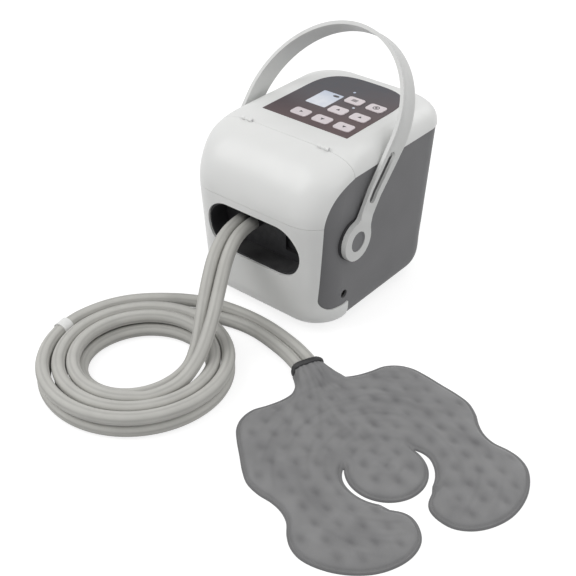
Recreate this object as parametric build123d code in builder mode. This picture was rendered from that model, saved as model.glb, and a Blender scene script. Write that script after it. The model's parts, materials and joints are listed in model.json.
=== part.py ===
"""Cold therapy machine: an iced-water circulator with a twin hose and a knee or shoulder pad.

Millimetres, +Z up, +Y to the back, +X to the right seen from the front. The origin is the
centre of the machine's footprint on the floor. The hose and the pad lie on the same floor.
"""

import math
import os

from build123d import *

os.makedirs("parts", exist_ok=True)

# Housing
BODY_WIDTH = 205.0
BODY_TOP = 225.0
FLOOR_GAP = 4.0
FRONT_AT_FLOOR = 112.0
FRONT_RAKE = 0.075
BACK_AT_FLOOR = 112.0
BACK_RAKE = 0.12
CORNER_RADIUS = 42.0
FRONT_TOP_RADIUS = 76.0
SIDE_TOP_RADIUS = 26.0
BACK_TOP_RADIUS = 16.0
BOTTOM_RADIUS = 24.0
MIDDLE_LEVELS = (45.0, 70.0, 95.0, 120.0, 135.0)
COVER_WALL = 3.0
HOUSING_INSET = 1.6
HOUSING_WALL = 3.0
SEAM = 0.4
FAR = 3 * BODY_TOP

# Side panel outline, which is the edge between the white covers and the grey housing
RIM_HEIGHT = 202.0
PANEL_FRONT = -105.0
PANEL_CORNER = 52.0
PANEL_HEEL = 37.0
PANEL_HEEL_CORNER = 16.0
HEEL_END = -62.0

# Filling lid
LID_SEAM_Y = -60.0
LID_LOW_EDGE = 154.0
HINGE_X = 57.0
HINGE_HEIGHT = BODY_TOP + 0.6
KNUCKLE_RADIUS = 2.4
KNUCKLE_LENGTH = 5.0
PIN_RADIUS = 1.1
PIN_CLEARANCE = 0.15
HINGE_GAP = 0.25

# Hose bay in the front
BAY_WIDTH = 142.0
BAY_HEIGHT = 68.0
BAY_MIDDLE = 110.0
BAY_BACK = -88.0
BAY_WALL = 2.0
BAY_FLANGE = 5.0
WELL_WIDTH = 26.0
WELL_HEIGHT = 20.0
WELL_DEPTH = 5.5
WELL_X = 38.0
WELL_Z = 100.0
WELL_CORNER = 2.0
BAY_CUP_CLEARANCE = 0.5
BAY_SEAT = 0.2

# Water tank
TANK_HALF = 80.0
TANK_WALL = 2.5
TANK_FRONT = -66.0
TANK_BACK = 46.0
TANK_FLOOR = 34.0
TANK_ROOF = 192.0
TANK_NECK = 212.0
MOUTH_LOW_Y = -101.0
MOUTH_LOW_Z = 160.0
MOUTH_LEDGE_Z = 151.0
MOUTH_HIGH_Y = -58.0
NECK_BACK = -46.0
ROOF_FRONT = -28.0
FLANGE_WIDTH = 5.0
FLANGE_THICKNESS = 2.0
SEAL_WIDTH = 5.0
SEAL_THICKNESS = 3.0
LINER_THICKNESS = 2.5
LINER_GAP = 0.3
LINER_SHIFT = -3.0
RIB_SHORTER = 12.0
MOUTH_CORNER = 8.0
MOUTH_LEDGE = 2.0
LID_RIB = 3.0
LID_RIB_X = 40.0
FOAM = 8.0
FOAM_GAP = 0.3
FOAM_TOP = 146.0
REST_GAP = 0.3

# Control panel
PANEL_WIDTH = 127.0
PANEL_NEAR = -25.0
PANEL_SIDE_END = 55.0
PANEL_ARCH_END = 116.0
PANEL_THICKNESS = 1.6
PANEL_SINK = 1.2
KEY_COLUMNS = (-20.0, 12.0, 44.0)
KEY_ROWS = (-5.0, 26.0, 59.0)
KEY_WIDTH = 24.0
KEY_DEPTH = 17.0
KEY_HEAD = 1.4
KEY_TRAVEL = 1.0
KEY_GAP = 0.35
KEY_STEM_RADIUS = 2.6
KEY_CORNER = 4.0
KEY_EDGE = 0.5
KEY_FLOOR_GAP = 0.2
KEY_SWITCH_GAP = 0.15
DISPLAY_X = -21.0
DISPLAY_Y = 42.0
DISPLAY_WIDTH = 30.0
DISPLAY_DEPTH = 40.0
DISPLAY_LEDGE = 2.0
DISPLAY_GAP = 0.25
DISPLAY_CORNER = 2.0
BOARD_WIDTH = 112.0
BOARD_NEAR = -20.0
BOARD_FAR = 100.0
BOARD_THICKNESS = 1.6
BOARD_TOP = 209.0
SWITCH_SIZE = 6.2
SWITCH_HEIGHT = 4.4
SWITCH_BUTTON = 0.6
SWITCH_BUTTON_RADIUS = 1.7
BOSS_RADIUS = 3.5
BOSS_X = 50.0
BOSS_NEAR = 7.0
BOSS_FAR = 8.0
BOSS_BORE = 8.0
BOARD_SCREW = 7.0

# Handle
PIVOT_Y = -60.0
PIVOT_Z = 122.0
HANDLE_LEAN = 34.0
SIDE_GAP = 1.8
RING_RADIUS = 29.5
RING_THICKNESS = 6.5
STUD_HEAD_RADIUS = 14.2
STUD_HEAD = 2.5
STUD_RADIUS = 10.0
STUD_CLEARANCE = 0.25
STRAP_WIDTH = 34.0
STRAP_THICKNESS = 4.5
STRAP_STRAIGHT = 128.0
STRAP_RISE = 242.0
SLOT_WIDTH = 10.5
SLOT_START = 52.0
SLOT_END = 132.0
STRAP_GROOVE = 1.0
STRAP_RIM = 4.0
STUD_GRIP = 2.0
WASHER_SMALLER = 4.0

# Pump and pipes behind the tank
PUMP_X = -45.0
PUMP_Y = 80.0
PUMP_FLOOR = 15.0
PUMP_RADIUS = 24.0
PUMP_HEIGHT = 26.0
PUMP_WALL = 2.5
PUMP_INLET_Z = 29.0
PUMP_OUTLET_X = -58.0
PUMP_INLET_REACH = 6.0
PUMP_OUTLET_REACH = 4.0
PUMP_OUTLET_WALL = 1.0
MOTOR_EDGE = 3.0
IMPELLER_DISC = 2.0
VANE_LAP = 1.0
NIPPLE_BORE = 2.5
MOUNT_RADIUS = 20.0
MOUNT_THICKNESS = 4.0
MOUNT_FOOT_RADIUS = 4.0
MOUNT_FOOT_SPREAD = 15.0
MOTOR_RADIUS = 19.0
MOTOR_HEIGHT = 46.0
SHAFT_RADIUS = 2.5
SHAFT_CLEARANCE = 0.3
SHAFT_IN_MOTOR = 10.0
HUB_RADIUS = 6.0
IMPELLER_RADIUS = 18.0
IMPELLER_GAP = 0.5
IMPELLER_VANES = 6
VANE_THICKNESS = 2.0
PIPE_RADIUS = 4.0
PIPE_HOLE_CLEARANCE = 0.3
PIPE_LEVEL = 20.0
PIPE_RISE_Y = -80.0
OUTLET_X = 10.0
OUTLET_Z = 42.0
NIPPLE_LENGTH = 14.0
STRAINER_WIDTH = 20.0
STRAINER_DEPTH = 16.0
STRAINER_HEIGHT = 14.0
STRAINER_WALL = 1.5
STRAINER_SLOTS = 4
STRAINER_SLOT_WIDTH = 1.6
STRAINER_SLOT_MARGIN = 5.0

# Base and back
BASE_WIDTH = 150.0
BASE_DEPTH = 170.0
BASE_PLATE = 2.4
BASE_CORNER = 12.0
BASE_LAP = 12.0
BASE_CLEARANCE = 0.3
BASE_SEAT = 0.1
FOOT_X = 60.0
FOOT_Y = 70.0
FOOT_RADIUS = 9.0
FOOT_TAPER = 1.0
POST_X = 69.0
POST_Y = (-40.0, 45.0)
POST_RADIUS = 4.0
SCREW_HEAD_RADIUS = 3.4
SCREW_HEAD = 1.6
SCREW_RADIUS = 1.4
SCREW_CLEARANCE = 0.1
SCREW_LENGTH = 12.0
ACCESS_HOLE_Y = -71.0
ACCESS_HOLE_Z = 50.0
ACCESS_HOLE_RADIUS = 5.5
JACK_X = 45.0
JACK_Z = 45.0
JACK_RADIUS = 7.0
JACK_CLEARANCE = 0.1
JACK_SEAT = 0.4
JACK_LENGTH = 14.0
JACK_FLANGE_RADIUS = 9.0
JACK_FLANGE = 2.0
JACK_BORE = 3.2
JACK_BORE_DEPTH = 10.0
JACK_PIN = 1.0
VENT_COUNT = 7
VENT_WIDTH = 3.0
VENT_HEIGHT = 30.0
VENT_PITCH = 8.0
VENT_Z = 150.0

# Hose: two round tubes side by side
TUBE_RADIUS = 7.8
FLOOR_LAYER = 8.0
TOP_LAYER = 24.2
PORT_X = {"supply": -15.9, "return": -32.1}
PORT_Z = 117.0
PORT_COLLAR = 10.0
PORT_STEM = 4.0
COIL_X = -28.0
COIL_Y = -288.0
EXIT_RADIUS = 115.0
EXIT_ANGLE = 129.7
STRAIGHT_START = 16.0
LAST_RUN = 12.0
CLIP_ANGLE = 190.0
CLIP_WIDTH = 14.0
CLIP_WALL = 1.2
CLIP_CLEARANCE = 0.35

# Hose coil: half turns as radius and height, whose ends lie on the line through the centre along X
SUPPLY_TURNS = [
    (73.0, TOP_LAYER),
    (72.5, TOP_LAYER),
    (89.4, TOP_LAYER),
    (89.0, TOP_LAYER),
    (105.6, TOP_LAYER),
    (107.0, TOP_LAYER),
]
RETURN_TURNS = [
    (56.0, 17.0),
    (66.5, FLOOR_LAYER),
    (87.0, FLOOR_LAYER),
    (88.0, FLOOR_LAYER),
    (105.0, FLOOR_LAYER),
    (107.0, FLOOR_LAYER),
]
SUPPLY_START = -42.0
COIL_SAMPLES = 240
COIL_APART = 28

# Pad, in a frame of its own: +X from the hose neck to the far side
PAD_X = 283.0
PAD_Y = -237.0
PAD_HEADING = -23.77
PAD_THICKNESS = 9.0
PAD_EDGE = 4.0
PAD_EDGE_THICKNESS = 3.0
PAD_SIDE_TAPER = 35.0
PAD_NECK_X = -148.0
PAD_NECK_HALF = 21.0
PAD_DISC_RADIUS = 44.0
PAD_SLIT = 6.0
PAD_SLIT_ANGLE = 112.0
PAD_GAP_HALF = 12.0
PAD_DIMPLE_PITCH = 23.5
PAD_DIMPLE_RADIUS = 5.0
PAD_DIMPLE_SIDES = 8
PAD_DIMPLE_DEPTH = 1.6
PAD_DIMPLE_TAPER = 50.0
PAD_DIMPLE_MARGIN = 11.0
HOSE_END_X = -168.0
HOSE_PITCH = 16.4
MANIFOLD_HEIGHT = 15.0
MANIFOLD_WIDTH = 38.0
MANIFOLD_CORNER = 3.0
MANIFOLD_EDGE = 2.5
PAD_RUN = 30.0
CLAMP_LENGTH = 12.0
CLAMP_WALL = 3.0
CLAMP_CLEARANCE = 0.4


def place(name, part):
    """Labels a finished piece and writes its STEP file."""
    part.label = name
    export_step(part, f"parts/{name}.step")


def inward(radius, height, limit):
    """How far a rounding of this radius has drawn in at a height past its start."""
    past = height - (limit - radius)
    if past <= 0 or radius <= 0:
        return 0.0
    return radius - math.sqrt(max(radius**2 - past**2, 0.0))


def body_section(z, inset):
    """Half width, front and back of the body at one height, drawn in by inset."""
    top = BODY_TOP - inset
    bottom = FLOOR_GAP + inset
    low = inward(BOTTOM_RADIUS - inset, -z, -bottom)
    half = BODY_WIDTH / 2 - inset - inward(SIDE_TOP_RADIUS - inset, z, top) - low
    front = FRONT_AT_FLOOR + FRONT_RAKE * z - inset - inward(FRONT_TOP_RADIUS - inset, z, top) - low
    back = BACK_AT_FLOOR + BACK_RAKE * z - inset - inward(BACK_TOP_RADIUS - inset, z, top) - low
    return half, -front, back


def body_form(inset):
    """The outer form of the machine, drawn in by inset all round."""
    top = BODY_TOP - inset
    bottom = FLOOR_GAP + inset
    low_radius = BOTTOM_RADIUS - inset
    high_radius = FRONT_TOP_RADIUS - inset
    levels = [bottom + low_radius * (1 - math.cos(math.radians(a))) for a in (0, 22, 42, 65, 90)]
    levels += MIDDLE_LEVELS
    climbs = (0, 12, 24, 36, 48, 60, 71, 81, 90)
    levels += [top - high_radius * (1 - math.sin(math.radians(a))) for a in climbs]
    with BuildPart() as form:
        for z in levels:
            half, front, back = body_section(z, inset)
            with BuildSketch(Plane.XY.offset(z)):
                with Locations((0, (front + back) / 2)):
                    RectangleRounded(2 * half, back - front, CORNER_RADIUS - inset)
        loft()
    return form.part


def panel_region(gap):
    """Everything behind the side panel's outline, grown by gap."""
    with BuildPart() as region:
        with BuildSketch(Plane.YZ) as outline:
            with BuildLine():
                Polyline(
                    (BACK_AT_FLOOR * 2, RIM_HEIGHT),
                    (PANEL_FRONT, RIM_HEIGHT),
                    (PANEL_FRONT, PANEL_HEEL),
                    (HEEL_END - 2, PANEL_HEEL),
                    (HEEL_END, -BODY_TOP),
                    (BACK_AT_FLOOR * 2, -BODY_TOP),
                    close=True,
                )
            make_face()
            fillet(outline.vertices().group_by(Axis.X)[0].sort_by(Axis.Y)[-1], PANEL_CORNER)
            fillet(outline.vertices().group_by(Axis.X)[0].sort_by(Axis.Y)[0], PANEL_HEEL_CORNER)
            if gap:
                offset(amount=gap)
        extrude(amount=BODY_WIDTH, both=True)
    return region.part


outer_form = body_form(0)
cover_inner_form = body_form(COVER_WALL)
housing_outer_form = body_form(HOUSING_INSET)
housing_inner_form = body_form(HOUSING_INSET + HOUSING_WALL)
panel_back = panel_region(0)
cover_cut = panel_region(SEAM)

def half_space(plane, reach=FAR):
    """A big block standing on a plane, on the side its normal points to."""
    with BuildPart(mode=Mode.PRIVATE) as block:
        with BuildSketch(plane):
            Rectangle(2 * reach, 2 * reach)
        extrude(amount=reach)
    return block.part


def back_plane(x, z):
    """Plane on the outside of the housing's back, which leans out towards the top."""
    y = BACK_AT_FLOOR + BACK_RAKE * z - HOUSING_INSET
    return Plane(origin=(x, y, z), x_dir=(-1, 0, 0), z_dir=(0, 1, -BACK_RAKE))


mouth_length = math.hypot(MOUTH_HIGH_Y - MOUTH_LOW_Y, TANK_NECK - MOUTH_LOW_Z)
mouth_plane = Plane(
    origin=(0, (MOUTH_LOW_Y + MOUTH_HIGH_Y) / 2, (MOUTH_LOW_Z + TANK_NECK) / 2),
    x_dir=(1, 0, 0),
    z_dir=(0, MOUTH_LOW_Z - TANK_NECK, MOUTH_HIGH_Y - MOUTH_LOW_Y),
)
HOUSING_FLOOR = FLOOR_GAP + HOUSING_INSET + HOUSING_WALL
FOAM_BOTTOM = TANK_FLOOR - FOAM_GAP - FOAM
BASE_TOP = FLOOR_GAP + HOUSING_INSET - BASE_SEAT
BASE_BOTTOM = BASE_TOP - BASE_PLATE

# Housing: the grey tub with the side panels, the back and the bottom
with BuildPart() as housing:
    add(housing_outer_form)
    add(housing_inner_form, mode=Mode.SUBTRACT)
    add(panel_back, mode=Mode.INTERSECT)
    # opening in the bottom that the base plate closes
    with BuildSketch(Plane.XY):
        RectangleRounded(BASE_WIDTH - 2 * BASE_LAP, BASE_DEPTH - 2 * BASE_LAP, BASE_CORNER)
    extrude(amount=HOUSING_FLOOR + HOUSING_WALL, mode=Mode.SUBTRACT)
    # posts that carry the tank and take the base screws
    with BuildSketch(Plane.XY.offset(HOUSING_FLOOR - HOUSING_WALL / 2)):
        with Locations(*[(side * POST_X, y) for side in (-1, 1) for y in POST_Y]):
            Circle(POST_RADIUS)
    extrude(amount=FOAM_BOTTOM - HOUSING_FLOOR + HOUSING_WALL / 2)
    with BuildSketch(Plane.XY):
        with Locations(*[(side * POST_X, y) for side in (-1, 1) for y in POST_Y]):
            Circle(SCREW_RADIUS + SCREW_CLEARANCE)
    extrude(amount=BASE_BOTTOM + SCREW_LENGTH + 1, mode=Mode.SUBTRACT)
    # screw access holes low on both sides, and bores for the handle studs
    with BuildSketch(Plane.YZ):
        with Locations((ACCESS_HOLE_Y, ACCESS_HOLE_Z)):
            Circle(ACCESS_HOLE_RADIUS)
        with Locations((PIVOT_Y, PIVOT_Z)):
            Circle(STUD_RADIUS + SCREW_CLEARANCE)
    extrude(amount=BODY_WIDTH, both=True, mode=Mode.SUBTRACT)
    # cooling vents and power jack hole in the back
    with BuildSketch(back_plane(0, VENT_Z)):
        with GridLocations(VENT_PITCH, 1, VENT_COUNT, 1):
            SlotOverall(VENT_HEIGHT, VENT_WIDTH, rotation=90)
    extrude(amount=2 * HOUSING_WALL, both=True, mode=Mode.SUBTRACT)
    with BuildSketch(back_plane(JACK_X, JACK_Z)):
        Circle(JACK_RADIUS + JACK_CLEARANCE)
    extrude(amount=2 * HOUSING_WALL, both=True, mode=Mode.SUBTRACT)
place("housing", housing.part)

# Front cover: the white shell round the hose bay and under the front edge
front_of_lid = half_space(Plane.XZ.offset(-LID_SEAM_Y + SEAM / 2))
with BuildPart() as front_cover:
    add(outer_form)
    add(cover_inner_form, mode=Mode.SUBTRACT)
    add(cover_cut, mode=Mode.SUBTRACT)
    add(half_space(Plane.XY.offset(LID_LOW_EDGE - SEAM)), mode=Mode.SUBTRACT)
    with BuildSketch(Plane.XZ.offset(-BAY_BACK)):
        with Locations((0, BAY_MIDDLE)):
            SlotOverall(BAY_WIDTH, BAY_HEIGHT)
    extrude(amount=FRONT_AT_FLOOR, mode=Mode.SUBTRACT)
    with BuildSketch(Plane.XY):
        RectangleRounded(BASE_WIDTH + 2 * BASE_CLEARANCE, BASE_DEPTH + 2 * BASE_CLEARANCE, BASE_CORNER)
    extrude(amount=HOUSING_FLOOR, mode=Mode.SUBTRACT)
place("front_cover", front_cover.part)

# Hose bay: dark cup behind the stadium opening, with a flange against the cover's inside
bay_front_form = body_form(COVER_WALL + BAY_SEAT)
bay_flange_form = body_form(COVER_WALL + BAY_SEAT + BAY_WALL)
with BuildPart() as bay_cup:
    with BuildSketch(Plane.XZ.offset(-BAY_BACK - BAY_WALL)):
        with Locations((0, BAY_MIDDLE)):
            SlotOverall(BAY_WIDTH - 2 * BAY_CUP_CLEARANCE, BAY_HEIGHT - 2 * BAY_CUP_CLEARANCE)
    extrude(amount=FRONT_AT_FLOOR)
    add(bay_front_form, mode=Mode.INTERSECT)
with BuildPart() as hose_bay:
    with BuildSketch(Plane.XZ.offset(-BAY_BACK - BAY_WALL)):
        with Locations((0, BAY_MIDDLE)):
            SlotOverall(BAY_WIDTH + 2 * BAY_FLANGE, BAY_HEIGHT + 2 * BAY_FLANGE)
    extrude(amount=FRONT_AT_FLOOR)
    add(bay_front_form, mode=Mode.INTERSECT)
    add(bay_flange_form, mode=Mode.SUBTRACT)
    add(bay_cup.part)
    with BuildSketch(Plane.XZ.offset(-BAY_BACK)):
        with Locations((0, BAY_MIDDLE)):
            bay_inset = BAY_CUP_CLEARANCE + BAY_WALL
            SlotOverall(BAY_WIDTH - 2 * bay_inset, BAY_HEIGHT - 2 * bay_inset)
    extrude(amount=FRONT_AT_FLOOR, mode=Mode.SUBTRACT)
    # a deeper well in the back wall, beside the ports
    with BuildSketch(Plane.XZ.offset(-BAY_BACK)):
        with Locations((WELL_X, WELL_Z)):
            RectangleRounded(WELL_WIDTH + 2 * BAY_WALL, WELL_HEIGHT + 2 * BAY_WALL, BAY_WALL + WELL_CORNER)
    extrude(amount=-WELL_DEPTH - BAY_WALL)
    with BuildSketch(Plane.XZ.offset(-BAY_BACK)):
        with Locations((WELL_X, WELL_Z)):
            RectangleRounded(WELL_WIDTH, WELL_HEIGHT, WELL_CORNER)
    extrude(amount=-WELL_DEPTH, mode=Mode.SUBTRACT)
    with BuildSketch(Plane.XZ.offset(-BAY_BACK)):
        with Locations(*[(x, PORT_Z) for x in PORT_X.values()]):
            Circle(PORT_STEM + SCREW_CLEARANCE)
    extrude(amount=-2 * BAY_WALL, mode=Mode.SUBTRACT)
place("hose_bay", hose_bay.part)

# Top cover: the fixed white shell behind the lid seam
panel_floor = BODY_TOP - PANEL_SINK


def panel_outline(grow):
    """Control panel outline: straight sides and a round far end, grown by a clearance."""
    half = PANEL_WIDTH / 2 + grow
    near = PANEL_NEAR - grow
    with BuildSketch() as outline:
        with BuildLine():
            Polyline((-half, PANEL_SIDE_END), (-half, near), (half, near), (half, PANEL_SIDE_END))
            ThreePointArc((half, PANEL_SIDE_END), (0, PANEL_ARCH_END + grow), (-half, PANEL_SIDE_END))
        make_face()
    return outline.sketch


KEYS = {
    "key_start": (0, 0),
    "key_temperature_down": (1, 0),
    "key_time_down": (2, 0),
    "key_temperature_up": (1, 1),
    "key_time_up": (2, 1),
    "key_mode": (1, 2),
    "key_power": (2, 2),
}
key_places = {name: (KEY_COLUMNS[column], KEY_ROWS[row]) for name, (column, row) in KEYS.items()}
boss_places = [(x, y) for x in (-BOSS_X, BOSS_X) for y in (BOARD_NEAR + BOSS_NEAR, BOARD_FAR - BOSS_FAR)]
lid_knuckle = (HINGE_X - KNUCKLE_LENGTH / 2, HINGE_X + KNUCKLE_LENGTH / 2)
cover_knuckles = (
    (lid_knuckle[0] - HINGE_GAP - KNUCKLE_LENGTH, lid_knuckle[0] - HINGE_GAP),
    (lid_knuckle[1] + HINGE_GAP, lid_knuckle[1] + HINGE_GAP + KNUCKLE_LENGTH),
)


def hinge_rods(spans, radius):
    """Round rods along the hinge line, one per span of X, on both sides."""
    with BuildPart(mode=Mode.PRIVATE) as rods:
        for side in (-1, 1):
            for start, end in spans:
                with BuildSketch(Plane.YZ.offset(min(side * start, side * end))):
                    with Locations((LID_SEAM_Y, HINGE_HEIGHT)):
                        Circle(radius)
                extrude(amount=end - start)
    return rods.part


lid_knuckle_room = [(lid_knuckle[0] - HINGE_GAP, lid_knuckle[1] + HINGE_GAP)]
pin_span = [(cover_knuckles[0][0], cover_knuckles[1][1])]
with BuildPart() as top_cover:
    add(outer_form)
    add(cover_inner_form, mode=Mode.SUBTRACT)
    add(half_space(Plane.XY.offset(RIM_HEIGHT + SEAM)), mode=Mode.INTERSECT)
    add(half_space(Plane.ZX.offset(LID_SEAM_Y + SEAM / 2)), mode=Mode.INTERSECT)
    with BuildSketch(Plane.XY.offset(panel_floor)):
        add(panel_outline(SEAM / 2))
    extrude(amount=PANEL_SINK * 2, mode=Mode.SUBTRACT)
    with BuildSketch(Plane.XY.offset(panel_floor)):
        with Locations(*key_places.values()):
            Circle(KEY_STEM_RADIUS + 3 * KEY_GAP)
        with Locations((DISPLAY_X, DISPLAY_Y)):
            Rectangle(DISPLAY_WIDTH - 2 * DISPLAY_LEDGE, DISPLAY_DEPTH - 2 * DISPLAY_LEDGE)
    extrude(amount=-COVER_WALL, mode=Mode.SUBTRACT)
    # bosses that hold the control board
    with BuildSketch(Plane.XY.offset(BOARD_TOP)):
        with Locations(*boss_places):
            Circle(BOSS_RADIUS)
    extrude(until=Until.NEXT)
    with BuildSketch(Plane.XY.offset(BOARD_TOP)):
        with Locations(*boss_places):
            Circle(SCREW_RADIUS + SCREW_CLEARANCE)
    extrude(amount=BOSS_BORE, mode=Mode.SUBTRACT)
    add(hinge_rods(cover_knuckles, KNUCKLE_RADIUS))
    add(hinge_rods(lid_knuckle_room, KNUCKLE_RADIUS + HINGE_GAP), mode=Mode.SUBTRACT)
    add(hinge_rods(pin_span, PIN_RADIUS + PIN_CLEARANCE), mode=Mode.SUBTRACT)
place("top_cover", top_cover.part)

# Filling lid: the rounded front top, hinged at the seam
liner_base = SEAL_THICKNESS + LINER_GAP
with BuildPart() as lid_ribs:
    with BuildSketch(mouth_plane.offset(liner_base + LINER_THICKNESS)):
        with Locations((-LID_RIB_X, 0), (LID_RIB_X, 0)):
            Rectangle(LID_RIB, mouth_length - RIB_SHORTER)
    extrude(amount=FRONT_TOP_RADIUS)
    add(body_form(COVER_WALL / 2), mode=Mode.INTERSECT)
with BuildPart() as fill_lid:
    add(outer_form)
    add(cover_inner_form, mode=Mode.SUBTRACT)
    add(cover_cut, mode=Mode.SUBTRACT)
    add(lid_ribs.part)
    add(half_space(Plane.XY.offset(LID_LOW_EDGE)), mode=Mode.INTERSECT)
    add(front_of_lid, mode=Mode.INTERSECT)
    add(hinge_rods([lid_knuckle], KNUCKLE_RADIUS))
    add(hinge_rods(
        [(start - HINGE_GAP, end + HINGE_GAP) for start, end in cover_knuckles], KNUCKLE_RADIUS + HINGE_GAP
    ), mode=Mode.SUBTRACT)
    add(hinge_rods([lid_knuckle], KNUCKLE_RADIUS))
    add(hinge_rods(pin_span, PIN_RADIUS + PIN_CLEARANCE), mode=Mode.SUBTRACT)
place("fill_lid", fill_lid.part)

with BuildPart() as lid_hinge_pins:
    add(hinge_rods(pin_span, PIN_RADIUS))
place("lid_hinge_pins", lid_hinge_pins.part)

# Lid liner: flat inner plate that closes the tank's mouth on the seal
with BuildPart() as lid_liner:
    with BuildSketch(mouth_plane.offset(liner_base)):
        with Locations((0, LINER_SHIFT)):
            RectangleRounded(2 * TANK_HALF - MOUTH_LEDGE, mouth_length - MOUTH_LEDGE, MOUTH_CORNER)
    extrude(amount=LINER_THICKNESS)
place("lid_liner", lid_liner.part)

# Tank: open at its slanted mouth, with a flange round it
def tank_face(wall):
    """Side outline of the tank, drawn in by its wall."""
    rise = (TANK_NECK - MOUTH_LOW_Z) / (MOUTH_HIGH_Y - MOUTH_LOW_Y)
    slant = wall * math.hypot(1, rise)
    with BuildSketch() as outline:
        with BuildLine():
            Polyline(
                (TANK_FRONT + wall, TANK_FLOOR + wall),
                (TANK_BACK - wall, TANK_FLOOR + wall),
                (TANK_BACK - wall, TANK_ROOF - wall),
                (ROOF_FRONT - wall, TANK_ROOF - wall),
                (NECK_BACK - wall, TANK_NECK - wall),
                (MOUTH_HIGH_Y + (slant - wall) / rise, TANK_NECK - wall),
                (MOUTH_LOW_Y + wall, MOUTH_LOW_Z + rise * wall - slant),
                (MOUTH_LOW_Y + wall, MOUTH_LEDGE_Z + wall),
                (TANK_FRONT + wall, MOUTH_LEDGE_Z + wall),
                close=True,
            )
        make_face()
    return outline.sketch


with BuildPart() as tank:
    with BuildSketch(Plane.YZ):
        add(tank_face(0))
    extrude(amount=TANK_HALF, both=True)
    with BuildSketch(mouth_plane):
        RectangleRounded(2 * TANK_HALF + MOUTH_LEDGE, mouth_length + 2 * FLANGE_WIDTH, MOUTH_CORNER)
    extrude(amount=-FLANGE_THICKNESS)
    with BuildSketch(Plane.YZ):
        add(tank_face(TANK_WALL))
    extrude(amount=TANK_HALF - TANK_WALL, both=True, mode=Mode.SUBTRACT)
    with BuildSketch(mouth_plane):
        RectangleRounded(
            2 * (TANK_HALF - TANK_WALL),
            mouth_length - 2 * (TANK_WALL + MOUTH_LEDGE),
            MOUTH_CORNER - MOUTH_LEDGE,
        )
    extrude(amount=2 * TANK_WALL, both=True, mode=Mode.SUBTRACT)
    # outlet nipple low on the back, inlet hole for the return port in the front
    with BuildSketch(Plane.XZ.offset(-TANK_BACK)):
        with Locations((OUTLET_X, OUTLET_Z)):
            Circle(PIPE_RADIUS)
    extrude(amount=-NIPPLE_LENGTH)
    with BuildSketch(Plane.XZ.offset(-TANK_BACK + 2 * TANK_WALL)):
        with Locations((OUTLET_X, OUTLET_Z)):
            Circle(NIPPLE_BORE)
    extrude(amount=-2 * NIPPLE_LENGTH, mode=Mode.SUBTRACT)
    with BuildSketch(Plane.XZ.offset(-TANK_FRONT - 2 * TANK_WALL)):
        with Locations((PORT_X["return"], PORT_Z)):
            Circle(PORT_STEM + SCREW_CLEARANCE)
    extrude(amount=4 * TANK_WALL, mode=Mode.SUBTRACT)
place("tank", tank.part)

# Lid seal: soft frame on the tank's flange
with BuildPart() as lid_seal:
    with BuildSketch(mouth_plane):
        RectangleRounded(2 * TANK_HALF, mouth_length, 7)
        RectangleRounded(2 * (TANK_HALF - SEAL_WIDTH), mouth_length - 2 * SEAL_WIDTH, 4, mode=Mode.SUBTRACT)
    extrude(amount=SEAL_THICKNESS)
place("lid_seal", lid_seal.part)

# Insulation: foam tub round the lower tank
with BuildPart() as tank_insulation:
    foam_gap = FOAM_GAP
    foam_out = FOAM_GAP + FOAM
    foam_middle = (TANK_FRONT + TANK_BACK) / 2
    foam_depth = TANK_BACK - TANK_FRONT
    with BuildSketch(Plane.XY.offset(FOAM_BOTTOM)):
        with Locations((0, foam_middle)):
            RectangleRounded(2 * (TANK_HALF + foam_out), foam_depth + 2 * foam_out, FOAM)
    extrude(amount=FOAM_TOP - FOAM_BOTTOM)
    with BuildSketch(Plane.XY.offset(FOAM_BOTTOM + FOAM)):
        with Locations((0, foam_middle)):
            Rectangle(2 * (TANK_HALF + foam_gap), foam_depth + 2 * foam_gap)
    extrude(amount=FOAM_TOP, mode=Mode.SUBTRACT)
    with BuildSketch(Plane.XZ.offset(-TANK_BACK)):
        with Locations((OUTLET_X, OUTLET_Z)):
            Circle(PIPE_RADIUS + PIPE_HOLE_CLEARANCE)
    extrude(amount=-2 * FOAM, mode=Mode.SUBTRACT)
    with BuildSketch(Plane.XZ.offset(-TANK_FRONT)):
        with Locations((PORT_X["return"], PORT_Z)):
            Circle(PORT_STEM + PIPE_HOLE_CLEARANCE)
    extrude(amount=2 * FOAM, mode=Mode.SUBTRACT)
place("tank_insulation", tank_insulation.part)

# Strainer: slotted box over the tank's outlet
with BuildPart() as strainer:
    floor = TANK_FLOOR + TANK_WALL
    back = TANK_BACK - TANK_WALL
    with BuildSketch(Plane.XY.offset(floor)):
        with Locations((OUTLET_X, back - STRAINER_DEPTH / 2)):
            Rectangle(STRAINER_WIDTH, STRAINER_DEPTH)
    extrude(amount=STRAINER_HEIGHT)
    with BuildSketch(Plane.XY.offset(floor)):
        with Locations((OUTLET_X, back - STRAINER_DEPTH / 2 + STRAINER_WALL)):
            Rectangle(STRAINER_WIDTH - 2 * STRAINER_WALL, STRAINER_DEPTH)
    extrude(amount=STRAINER_HEIGHT - STRAINER_WALL, mode=Mode.SUBTRACT)
    with BuildSketch(Plane.XZ.offset(-back + STRAINER_DEPTH)):
        with Locations((OUTLET_X, floor + STRAINER_HEIGHT / 2)):
            with GridLocations(STRAINER_WIDTH / (STRAINER_SLOTS + 1), 1, STRAINER_SLOTS, 1):
                SlotOverall(STRAINER_HEIGHT - STRAINER_SLOT_MARGIN, STRAINER_SLOT_WIDTH, rotation=90)
    extrude(amount=2 * STRAINER_WALL, both=True, mode=Mode.SUBTRACT)
place("strainer", strainer.part)

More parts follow.
